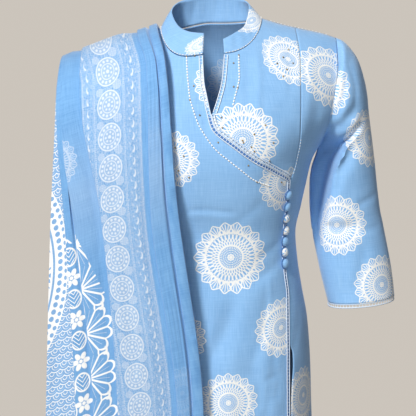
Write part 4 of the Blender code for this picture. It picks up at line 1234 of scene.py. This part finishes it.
def cotton(name, coordinates, pattern=None, strength=1.0, deep=BLUE_DEEP, light=BLUE_LIGHT,
           pitch=0.0006, slub=1.0, sheen=0.25):
    """Cotton cloth with its weave, and a printed pattern where one is given."""
    mat, tree, shader = new_material(name)
    vector = object_socket(tree) if coordinates == "object" else uv_socket(tree, coordinates)
    weave = place_group(tree, WEAVE, Vector=vector, Pitch=pitch, Slub=slub)
    shade, height = Flow(tree, weave.outputs["Shade"]), Flow(tree, weave.outputs["Height"])
    colour = two_tone(tree, full(shade), deep, light)
    rough = shade * 0.1 + 0.74
    if pattern:
        mask = pattern(tree) * strength
        blot = noise_of(tree, vector, 260.0, Detail=2.0)
        ink = mask * (0.86 + blot * 0.24) * (0.93 + shade * 0.12)
        colour = two_tone(tree, full(ink), colour, INK)
        height = height + mask * 0.35
        rough = rough - mask * 0.06
    tree.links.new(colour, shader.inputs["Base Color"])
    tree.links.new(rough.socket, shader.inputs["Roughness"])
    bump = tree.nodes.new("ShaderNodeBump")
    for node, label, value in ((shader, "Sheen Weight", sheen), (shader, "Sheen Roughness", 0.5),
                               (shader, "Specular IOR Level", 0.25), (bump, "Distance", 0.00022),
                               (bump, "Strength", 0.8)):
        node.inputs[label].default_value = value
    tree.links.new(height.socket, bump.inputs["Height"])
    tree.links.new(bump.outputs[0], shader.inputs["Normal"])
    return mat


def medallion_print(tree):
    node = place_group(tree, MANDALA, Vector=uv_socket(tree, "Print"))
    return Flow(tree, node.outputs["Mask"])


def dupatta_print(tree):
    """Picks the pattern by pleat: the whole part of u numbers the pleat, the rest is metres."""
    u, v = split(tree, uv_socket(tree, "Print"))
    pleat = (u + 0.5).floor()
    local = u - pleat

    def at(u_of=lambda: local, v_of=lambda: v):
        """Vector of two numbers, worked out once the node that joins them is there."""
        node = tree.nodes.new("ShaderNodeCombineXYZ")
        for given, number in zip(node.inputs, (u_of, v_of)):
            tree.links.new(number().socket, given)
        return node.outputs[0]

    def only(number):
        return (pleat - number).abs().op("LESS_THAN", 0.5)

    def pattern(group, vector):
        return Flow(tree, place_group(tree, group, Vector=vector).outputs["Mask"])

    border = pattern(BORDER, at()) * only(3) * (v.abs() - 1.02).within(0.01)
    border = border * 0.66
    fans = pattern(FANS, at()) * only(4) * (0.35 - local * 2.9 - v.abs()).within(0.0015)
    flowers = pattern(FLOWERS, at()) * only(5) * (0.258 - local * 1.2 - v.abs()).within(0.0015)
    paisley = pattern(PAISLEY, at()) * only(6) * (0.052 - v.abs()).within(0.0015)
    # medallions and a soft pale band on pleats 2 and 4, painted where the cloth beneath shows faintly through the
    # border and beside it
    through_at = at(lambda: (local - 0.014) / 0.036, lambda: (v - 0.165).wrap(0.34) / 0.036)
    ghost = pattern(MANDALA, through_at) * only(2) * 0.1
    beside_at = at(lambda: (local - 0.05) / 0.036, lambda: (v.abs() - 0.135) / 0.036)
    ghost = ghost.most(pattern(MANDALA, beside_at) * only(4) * 0.42)
    # soft pale band of painted show-through of the cloth beneath, not a fading of the dye
    show_through_haze = (v.abs() - 0.19).band(0.03, 0.16) * (only(2) + only(4)) * 0.16
    return border.most(fans).most(flowers).most(paisley).most(ghost).most(show_through_haze)


kameez_cloth = cotton("kameez cotton", "Cloth", medallion_print)
kameez_reverse = cotton("kameez cotton, reverse", "Cloth", medallion_print, strength=0.35)
salwar_cloth = cotton("salwar cotton", "Cloth", deep=(0.185, 0.395, 0.705), light=(0.305, 0.54, 0.85))
dupatta_cloth = cotton("dupatta cotton", "Print", dupatta_print, deep=(0.108, 0.285, 0.575),
                       light=(0.205, 0.425, 0.72), pitch=0.0008, slub=1.25, sheen=0.35)
lace_cotton = cotton("lace cotton", "object", deep=(0.56, 0.7, 0.88), light=(0.8, 0.87, 0.95))
# very dark navy cord for the button loops, made this dark to stand in for the shade at the left of each button as
# well; it also colours the painted shade band under the lace
dark_cord_and_painted_shade = cotton("dark cord and painted shade", "object", deep=(0.05, 0.15, 0.4), light=(0.09, 0.24, 0.56))
white_thread = cotton("white thread", "object", deep=(0.84, 0.83, 0.8), light=(0.95, 0.945, 0.92))


def bead_finish():
    mat, tree, shader = new_material("antique gold bead")
    grain = noise_of(tree, object_socket(tree), 900.0, Detail=2.0)
    colour = two_tone(tree, grain, (0.16, 0.11, 0.055), (0.55, 0.42, 0.23))
    tree.links.new(colour, shader.inputs["Base Color"])
    tree.links.new((grain * 0.3 + 0.22).socket, shader.inputs["Roughness"])
    shader.inputs["Metallic"].default_value = 0.85
    return mat


gold_bead = bead_finish()

# ---- where the medallions are printed ------------------------------------------------------------
# x, z, diameter, turn in degrees
CHEST_PRINT = ((0.1055, -0.0423, 0.082, 8), (0.0422, -0.149, 0.103, 3), (0.112, -0.226, 0.08, 0))
SIDE_PRINT = (
    (0.162, -0.065, 0.1, 12), (0.1313, -0.5183, 0.083, 0), (0.132, -0.285, 0.04, 5),
    (0.165, -0.72, 0.083, 20), (0.15, -0.93, 0.083, 5),
)
FRONT_PRINT = (
    (0.0272, -0.3133, 0.103, 0), (-0.0555, -0.1758, 0.081, 6), (0.1005, -0.2114, 0.083, 10),
    (-0.048, -0.4266, 0.083, 4), (0.0978, -0.4147, 0.082, 0), (0.0241, -0.5152, 0.083, 9),
    (0.0165, -0.073, 0.08, 4), (-0.125, -0.095, 0.083, 0), (-0.13, -0.3, 0.083, 7),
) + tuple((-0.139 + 0.0815 * c + 0.01 * (r % 2), -0.59 - 0.1035 * r - 0.0518 * (c % 2), 0.083, 13 * r + 7 * c)
          for r in range(5) for c in range(4))
BACK_PRINT = tuple((-0.122 + 0.0815 * c, -0.085 - 0.164 * r - 0.082 * (c % 2), 0.094 if (r + c) % 3 else 0.083,
                    11 * r + 5 * c) for r in range(7) for c in range(4))
SLEEVE_PRINT = (
    # x, z, diameter, turn, on the front
    (0.148, -0.08, 0.09, 0, True), (0.223, -0.154, 0.083, 5, True), (0.177, -0.276, 0.086, 0, True),
    (0.241, -0.36, 0.083, 9, True), (0.19, -0.12, 0.083, 0, False), (0.205, -0.24, 0.083, 4, False),
    (0.185, -0.35, 0.083, 8, False),
)


FLAT = {face: FlatCloth(face) for face in ("front", "back")}


def printed(spot_of, table):
    """Medallions as across, down, radius and turn on the flat cloth."""
    return [(*spot_of(x, z, *front), size / 2, math.radians(turn)) for x, z, size, turn, *front in table]


# ---- build the kameez -----------------------------------------------------------------------------
LEVELS = body_levels()
KAMEEZ, SALWAR = ([kameez_cloth, kameez_reverse], "kameez_cotton"), ([salwar_cloth], "salwar_cotton")


def towards(x, y=0.0, share=1.0):
    """Way from a place on a tube to its middle line, all of it or a share of it across."""
    return lambda p: Vector((x - p.x * share, y - p.y, 0))


def sew(cloth, node, fabric, wall, inward, medallions=()):
    """Makes a finished piece of a cloth; inward gives the way to the wearer."""
    settle(cloth.name, grid_mesh(cloth, inward, medallions), *fabric, [node], wall=wall)


def make_panel(name, node, face, left_of, right_of, columns, levels, table):
    cloth = Cloth(name, panel_place(face, left_of, right_of), spread(0, 1, columns), levels, flat=FLAT[face])
    spots = printed(lambda x, z: FLAT[face](x, level_of(x, z, face)), table)
    sew(cloth, node, KAMEEZ, KAMEEZ_WALL, towards(0, share=0.4), spots)


def right_side(level):
    return -side_x(level)


BACK_LEVELS = LEVELS[:2] + LEVELS[2::2] + ([LEVELS[-1]] if len(LEVELS) % 2 == 0 else [])
make_panel("kameez_front", "front_main_panel", "front", right_side, main_edge, 96, LEVELS, FRONT_PRINT)
make_panel("kameez_chest", "left_chest_panel", "front", yoke_start, princess, 44,
           [v for v in LEVELS if v > -0.2] + [-0.2], CHEST_PRINT)
make_panel("kameez_side", "left_side_panel", "front", side_panel_start, side_x, 26, LEVELS, SIDE_PRINT)
make_panel("kameez_back", "back_panel", "back", right_side, side_x, 96, BACK_LEVELS, BACK_PRINT)

SLEEVES = ("left", SLEEVE_LEFT, 1), ("right", SLEEVE_RIGHT, -1)
for word, table, side in SLEEVES:
    cloth = Cloth(f"kameez_sleeve_{word}", sleeve_place(table, side), spread(-math.pi, math.pi, 113),
                  spread(0, len(table), 118), closed=True, axis=(side * 0.087, 0, -0.996))
    spots = printed(cloth.near, tuple((side * x, *rest) for x, *rest in SLEEVE_PRINT))
    sew(cloth, f"sleeve_{word}", KAMEEZ, KAMEEZ_WALL,
        lambda p, s=side: Vector((s * 0.19 + s * 0.04 * (-p.z) - p.x, -p.y, 0)), spots)

band = Cloth("kameez_collar", collar_place, spread(COLLAR[0][0], COLLAR[-1][0], 150), spread(1.0, 0.0, 12))
band_spots = [(*band.near(-0.0095, -0.0185), 0.021, 0.3), (band.near(0.053, 0.01)[0], -0.01, 0.03, 0.1)]
sew(band, "collar", KAMEEZ, COLLAR_WALL, towards(0), band_spots)

# ---- build the salwar -----------------------------------------------------------------------------
belt = Cloth("salwar_band", belt_place, spread(0, 2 * math.pi, 145),
             spread(SALWAR_TOP, SALWAR_BELT_BOTTOM, 26), closed=True)
sew(belt, "salwar_hip_band", SALWAR, SALWAR_WALL, towards(0))
for word, side in (("left", 1), ("right", -1)):
    leg = Cloth(f"salwar_{word}", leg_place(side), spread(0, 1, 150), spread(LEG[0][0], LEG[-1][0], 110))
    sew(leg, f"salwar_leg_{word}", SALWAR, SALWAR_WALL, towards(side * 0.075))
    cuff = Cloth(f"salwar_ankle_{word}", ankle_place(side), spread(0, 2 * math.pi, 73),
                 spread(LEG[-1][0] - SEAM, SALWAR_ANKLE, 12), closed=True)
    sew(cuff, f"salwar_cuff_{word}", SALWAR, SALWAR_WALL * 1.6, towards(side * 0.057, 0.015))


# ---- build the dupatta ----------------------------------------------------------------------------
DROPS_AT_SHOULDER = [0.0015, 0.005, 0.01, 0.016, 0.022, 0.029, 0.036, 0.044, 0.052]
HEM_STEP, HEM_ROWS = 0.0144, 39


def dupatta_drops():
    """Face and drop of every row, from the front hem over the shoulder to the back hem."""
    front = [DUPATTA_DROP_FRONT - HEM_STEP * k for k in range(HEM_ROWS)]
    front += spread(front[-1], 0.06, 84)[1:] + DROPS_AT_SHOULDER[::-1]
    back = [0.0] + DROPS_AT_SHOULDER + [0.06]
    back += spread(0.066, 0.3, 22) + spread(0.318, DUPATTA_DROP_BACK, HEM_ROWS)
    return [("front", d) for d in front] + [("back", d) for d in back]


def pleat_lengths(line, sums, drop):
    """Number of the pleat plus its metres, counted from where it comes out past the fold before it."""
    us = []
    for i, (_x, _h, pleat) in enumerate(line):
        if pleat < 2:
            us.append(pleat + sums[i] * 0.2)
            continue
        before, fold = pleat_x(2 * pleat - 2, drop), pleat_x(2 * pleat, drop)
        seen = [k for k, item in enumerate(line) if item[2] == pleat and item[1] > LAYER_PITCH * 0.9]
        edge = next((k for k in seen if line[k][0] <= fold + 0.0004 and k > 2), seen[-1])
        us.append(pleat + (sums[i] - (sums[edge] - abs(before - fold))))
    return us


def make_dupatta():
    cloth = SimpleNamespace(name="dupatta_cloth", closed=False, rows=[], across=[], down=[])
    for face, drop in dupatta_drops():
        line = pleat_section(drop)
        row = [dupatta_place(face, drop, x, height) for x, height, _p in line]
        cloth.rows.append(row)
        cloth.across.append(pleat_lengths(line, running(row), drop))
        cloth.down.append([drop if face == "front" else -drop] * len(line))
    mesh = grid_mesh(cloth)
    # the outer side is the one that looks away from the wearer on the broad outermost pleat
    face_out(mesh, lambda f: Vector((0, -1 if f.calc_center_median().y < -0.05 else 0, 0)))
    return mesh


settle("dupatta_cloth", make_dupatta(), [dupatta_cloth], "dupatta_cotton", ["dupatta"],
       wall=DUPATTA_WALL, offset=0.0)
pieces["dupatta_cloth"].data.uv_layers["Cloth"].name = "Print"


# ---- paths on the kameez --------------------------------------------------------------------------
def resample(path, pitch):
    """Points of a path of (point, normal) at an even pitch along it."""
    out, carry = [path[0]], 0.0
    for (a, na), (b, nb) in zip(path, path[1:]):
        length = (b - a).length
        at = pitch - carry
        while at <= length:
            t = at / length
            out.append((a.lerp(b, t), na.lerp(nb, t).normalized()))
            at += pitch
        carry = length - (at - pitch)
    return out


def front_spot(x, z):
    """Place and normal of the front at this x and height."""
    return surface_normal(x, level_of(x, z), "front")


def edge_path(edge, start, end, step=0.002):
    """Path down a free edge of the front, edge(level) = x."""
    count = max(2, int(abs(end - start) / step))
    return [surface_normal(edge(level), level, "front") for level in spread(start, end, count)]


THROUGH_STEP = 0.08


def through(points):
    """Path on the front through a few x, z points."""
    table = tuple((i, *p) for i, p in enumerate(points))
    out, t = [], 0.0
    while t < len(points) - 1:
        out.append(front_spot(read(table, t, 1), read(table, t, 2)))
        t += THROUGH_STEP
    return out


def seated(place, normal):
    """Matrix that sets something down on a place, with its Z along the normal."""
    return Matrix.Translation(place) @ normal.to_track_quat("Z", "Y").to_matrix().to_4x4()


# ---- lace -----------------------------------------------------------------------------------------
LACE_SHARES = (0.0, 0.08, 0.17, 0.82, 0.91, 1.0)
LACE_STOPS = (0.0, 0.1, 0.2, 0.95)
LACE_PARTS, LACE_REACH = 20, 6


def lace_mesh(path, side, lift, width=LACE_WIDTH, scallop=0.0):
    """Ladder lace laid beside a path: two rails, rungs between, real holes."""
    even = resample(path, LACE_PITCH / LACE_PARTS)
    runs = (len(even) - 1) // LACE_PARTS
    picks = [LACE_PARTS * k + round(LACE_PARTS * s) for k in range(runs) for s in LACE_STOPS]
    picks.append(LACE_PARTS * runs)
    mesh, spots = new_sheet(len(LACE_SHARES) - 1, len(picks) - 1)
    gone = [face for face in mesh.faces
            if min(spots[v][1] for v in face.verts) == 2 and min(spots[v][0] for v in face.verts) % 4 in (1, 2)]
    for vert, (r, c) in spots.items():
        i = picks[r]
        here, normal = even[i]
        before, after = even[max(i - LACE_REACH, 0)][0], even[min(i + LACE_REACH, len(even) - 1)][0]
        out = (after - before).normalized().cross(normal).normalized() * side
        wave = scallop * abs(math.sin(math.pi * i / LACE_PARTS)) if c == 5 else 0.0
        raise_up = 0.0003 if c in (1, 4) else 0.0
        vert.co = here + out * (0.0002 + width * LACE_SHARES[c] + wave) + normal * (lift + raise_up)
    bmesh.ops.delete(mesh, geom=gone, context="FACES")
    bmesh.ops.recalc_face_normals(mesh, faces=mesh.faces[:])
    face_out(mesh, lambda f: even[picks[spots[f.verts[0]][0]]][1])
    return mesh


def painted_shade_ribbon(path, side, width, lift):
    """Narrow dark band laid under the lace: painted shade that shows through its holes."""
    even = resample(path, 0.003)
    last = len(even) - 1
    mesh, spots = new_sheet(2, last)
    for vert, (r, c) in spots.items():
        here, normal = even[r]
        along = (even[min(r + 1, last)][0] - even[max(r - 1, 0)][0]).normalized()
        out = along.cross(normal).normalized() * side
        vert.co = here + out * (0.0006 + width * (c / 2)) + normal * lift
    bmesh.ops.recalc_face_normals(mesh, faces=mesh.faces[:])
    face_out(mesh, lambda f: even[0][1])
    return mesh


def add_lace(name, node, *strips):
    whole = bmesh.new()
    for mesh in strips:
        data = bpy.data.meshes.new("strip")
        mesh.to_mesh(data)
        mesh.free()
        whole.from_mesh(data)
        bpy.data.meshes.remove(data)
    settle(name, whole, [lace_cotton], "lace", [node], wall=TRIM_WALL, offset=1.0)


DIAGONAL_WIDTH = 0.0042
front_edge = edge_path(main_edge, -0.001, -KAMEEZ_LENGTH + 0.001)
diagonal = edge_path(main_edge, -0.104, -0.206, 0.001)
add_lace("lace_front", "lace_front_edge", lace_mesh(front_edge, 1, 0.0004),
         lace_mesh([(p + n * 0.0002, n) for p, n in diagonal], -1, 0.0009, width=DIAGONAL_WIDTH))
# a dark band of painted shade laid under the front lace, so that its holes look shaded
shade_band_path = edge_path(main_edge, -0.106, -KAMEEZ_LENGTH + 0.003)
settle("lace_painted_shade", painted_shade_ribbon(shade_band_path, 1, DIAGONAL_WIDTH, 0.00025), [dark_cord_and_painted_shade], "button_cloth",
       wall=0.0002, offset=1.0)
add_lace("lace_slit", "lace_neck_slit", lace_mesh(edge_path(yoke_start, -0.001, -0.1), -1, 0.0004))
CUFF_POINTS = 240
for word, table, side in SLEEVES:
    place = sleeve_place(table, side)
    hem = [place(2 * math.pi * k / CUFF_POINTS, len(table)) for k in range(CUFF_POINTS + 1)]
    centre = sum(hem[:-1], Vector()) / CUFF_POINTS
    ring = [(p, Vector((p.x - centre.x, p.y - centre.y, 0)).normalized()) for p in hem]
    add_lace(f"lace_sleeve_{word}", f"lace_cuff_{word}", lace_mesh(ring, -side, -0.0008, scallop=0.0012))

# ---- white cord, stitches and beads ---------------------------------------------------------------
PIPING = metres((
    # x, z along the right side of the placket, then along its left side
    ((-33.6, -28.9), (-32.7, -55), (-30.5, -79), (-28.9, -92.6), (-24.7, -107), (-18.2, -125.5),
     (5.1, -160.4), (24, -176.4), (42.8, -191.6), (58.2, -203.8), (85, -215.7)),
    ((37.4, -36.6), (38, -64.6), (35.9, -77.4), (31.8, -91.8), (28, -108)),
))


def stitches(mesh, path, length, gap, radius, lift=0.0):
    """Row of stitches: one small rounded bead of thread for each."""
    even = resample(path, length + gap)
    for (a, na), (b, _nb) in zip(even, even[1:]):
        along = (b - a).normalized()
        turn = along.to_track_quat("X", "Z").to_matrix().to_4x4()
        size = Matrix.Diagonal((length / 2, radius, radius * 0.8, 1))
        spot = Matrix.Translation((a + b) / 2 + na * (lift + radius * 0.4))
        bmesh.ops.create_icosphere(mesh, subdivisions=1, radius=1.0, matrix=spot @ turn @ size)


mesh = bmesh.new()
for points in PIPING:
    stitches(mesh, through(points), 0.004, 0.0004, 0.0013)
collar_base = []
for turn in spread(COLLAR[0][0], COLLAR[-1][0], 200):
    a = math.radians(turn)
    collar_base.append((collar_place(turn, 0.03), Vector((math.sin(a), -math.cos(a), 0.25)).normalized()))
stitches(mesh, collar_base, 0.0038, 0.0005, 0.0008, lift=0.0002)
settle("white_piping", mesh, [white_thread], "lace")

mesh = bmesh.new()
princess_line = [surface_normal(princess(v) + 0.0012, v, "front") for v in spread(-0.15, -0.2, 40)]
stitches(mesh, princess_line, 0.0032, 0.0012, 0.0006)
shoulder_line = []
for x in spread(0.082, 0.168, 60):
    p = kameez_point(x, 0.0, "front")
    shoulder_line.append((p + Vector((0, -0.0022, 0.0003)), Vector((0.05, -0.35, 1)).normalized()))
stitches(mesh, shoulder_line, 0.003, 0.002, 0.0005)
settle("white_dashes", mesh, [white_thread], "lace")

BEAD_LIFT, BEAD_SIZE = 0.0007, (0.0012, 0.0012, 0.0009, 1)
BEADS = metres((
    # x, z
    (-33.6, -28.9), (37.4, -36.6), (-29, -95.5), (35.6, -79.5), (62, -206.5), (-22.5, -34), (-23.6, -77),
    (30.3, -47), (30.3, -78), (-15.5, -115.5), (9.3, -151.5), (50, -183), (43.2, -152), (58, -164), (79, -178),
    (58, -141), (84, -153), (73, -129), (15, -132), (13.8, -118.5), (96, -209), (98.5, -40), (106.5, -30),
    (103, -56), (112, -48), (90, -48), (98, -65), (-37, -170), (-44, -190), (-30, -199), (-48, -159), (42, -149),
    (54, -158),
))
mesh = bmesh.new()
for x, z in BEADS:
    here, normal = front_spot(x, z)
    bmesh.ops.create_uvsphere(mesh, u_segments=12, v_segments=8, radius=1.0,
                              matrix=seated(here + normal * BEAD_LIFT, normal) @ Matrix.Diagonal(BEAD_SIZE))
settle("gold_beads", mesh, [gold_bead], "lace")


# ---- covered buttons and their loops ---------------------------------------------------------------
def button_seat(level, x, lift):
    start = side_panel_start(level)
    edge = start + (side_x(level) - start) * 0.05
    _here, normal = surface_normal(edge, level, "front")
    return kameez_point(x - 0.0035, level, "front") + normal * lift, normal


CRIMPS, CRIMP_DEPTH, UNDERSIDE = 16, 0.022, 0.06
SPRIGS = {3: (0.35, -0.55), 4: (-0.5, 0.35), 6: (0.55, 0.5)}  # buttons that show some of the print
NO_SPRIG, COVER_RADIUS, PRINT_RADIUS = (3.0, 3.0), 0.0075, 0.041
for number, (level, x, lift) in enumerate(BUTTONS, 1):
    seat, normal = button_seat(level, x, lift)
    mesh = bmesh.new()
    bmesh.ops.create_uvsphere(mesh, u_segments=40, v_segments=20, radius=1.0)
    for vert in mesh.verts:
        turn = math.atan2(vert.co.y, vert.co.x)
        rim = 1 - min(abs(vert.co.z), 1.0)
        crimp = 1 + CRIMP_DEPTH * math.sin(CRIMPS * turn + number) * rim ** 3
        vert.co.x, vert.co.y = vert.co.x * crimp, vert.co.y * crimp
        vert.co.z *= UNDERSIDE if vert.co.z < 0 else 1.0
    size = Matrix.Diagonal((BUTTON_DIAMETER / 2, BUTTON_DIAMETER / 2, BUTTON_RISE, 1))
    motif = mesh.loops.layers.uv.new("Print")
    lengths = mesh.loops.layers.uv.new("Cloth")
    shift = Vector(SPRIGS.get(number, NO_SPRIG))
    for face in mesh.faces:
        for loop in face.loops:
            flat = loop.vert.co.xy * COVER_RADIUS
            loop[lengths].uv = flat
            loop[motif].uv = flat / PRINT_RADIUS + shift
    bmesh.ops.transform(mesh, matrix=seated(seat, normal) @ size, verts=mesh.verts)
    settle(f"covered_button_{number}", mesh, [kameez_cloth], "button_cloth", [f"button_{number}"])

# dark cord loops round the left side of each button, their dark colour also standing in for the shade there
LOOP_RADIUS, LOOP_THICK, LOOP_LIFT = BUTTON_DIAMETER / 2 + 0.0011, 0.00075, 0.0012
LOOP_START, LOOP_SWEEP, LOOP_SIDES = math.radians(-100), math.radians(200), 8
mesh = bmesh.new()
for level, x, lift in BUTTONS:
    seat, normal = button_seat(level, x, lift)
    side = Vector((-1, 0, 0))
    side = (side - normal * side.dot(normal)).normalized()
    out = Matrix.Rotation(LOOP_START, 3, normal) @ side
    start = seat + out * LOOP_RADIUS + normal * LOOP_LIFT
    facing = Matrix((out, normal, out.cross(normal))).transposed().to_4x4()
    ring = bmesh.ops.create_circle(mesh, segments=LOOP_SIDES, radius=LOOP_THICK,
                                   matrix=Matrix.Translation(start) @ facing)["verts"]
    edges = list({e for v in ring for e in v.link_edges})
    bmesh.ops.spin(mesh, geom=ring + edges, cent=seat + normal * LOOP_LIFT, axis=normal,
                   angle=LOOP_SWEEP, steps=18, use_merge=False, dvec=(0, 0, 0))
bmesh.ops.holes_fill(mesh, edges=mesh.edges[:], sides=LOOP_SIDES)
bmesh.ops.recalc_face_normals(mesh, faces=mesh.faces[:])
settle("button_loops", mesh, [dark_cord_and_painted_shade], "button_cloth")

# ---- floor ----------------------------------------------------------------------------------------
FLOOR_RADIUS, FLOOR_HEIGHT, FLOOR_COLOUR = 2.9, -1.46, (0.7, 0.665, 0.62, 1)
mesh = bmesh.new()
bmesh.ops.create_circle(mesh, cap_ends=True, segments=96, radius=FLOOR_RADIUS,
                        matrix=Matrix.Translation((0, 0, FLOOR_HEIGHT)))
floor = bpy.data.objects.new("floor", bpy.data.meshes.new("floor"))
mesh.to_mesh(floor.data)
mesh.free()
bpy.context.scene.collection.objects.link(floor)
paint, tree, shader = new_material("pale floor")
shader.inputs["Base Color"].default_value = FLOOR_COLOUR
shader.inputs["Roughness"].default_value = 0.9
# the floor fades out towards its rim
edge = ((length2(*split(tree, object_socket(tree))) - 2.0) / -1.6 + 0.5).op("SMOOTH_MIN", 1.0, 0.2, clamp=True)
tree.links.new(edge.socket, shader.inputs["Alpha"])
floor.data.materials.append(paint)

# ---- what each sheet was cut to --------------------------------------------------------------------
SHEETS = (
    # piece, width, length, area, held, rests on
    ("kameez_front", 0.4, 1.2, 0.36, "hung", ("kameez_back",)),
    ("kameez_chest", 0.17, 0.28, 0.0235, "hung", ("kameez_back",)),
    ("kameez_side", 0.1, 1.16, 0.084, "hung", ("kameez_back",)),
    ("kameez_back", 0.52, 1.17, 0.48, "hung", ("kameez_front",)),
    ("kameez_sleeve_left", 0.43, 0.39, 0.104, "hung", ("kameez_front",)),
    ("kameez_sleeve_right", 0.43, 0.39, 0.104, "hung", ("kameez_front",)),
    ("kameez_collar", 0.045, 0.44, 0.0135, "hung", ("kameez_front",)),
    ("salwar_band", 0.2, 0.84, None, "hung", ("kameez_front",)),
    ("salwar_left", 0.56, 0.9, 0.45, "gathered", ("salwar_band",)),
    ("salwar_right", 0.56, 0.9, 0.45, "gathered", ("salwar_band",)),
    ("salwar_ankle_left", 0.045, 0.37, None, "hung", ("salwar_left",)),
    ("salwar_ankle_right", 0.045, 0.37, None, "hung", ("salwar_right",)),
    ("dupatta_cloth", 0.66, 2.32, None, "draped", ("kameez_front", "kameez_back")),
)
for name, width, length, area, held, rests_on in SHEETS:
    list(rests_on)
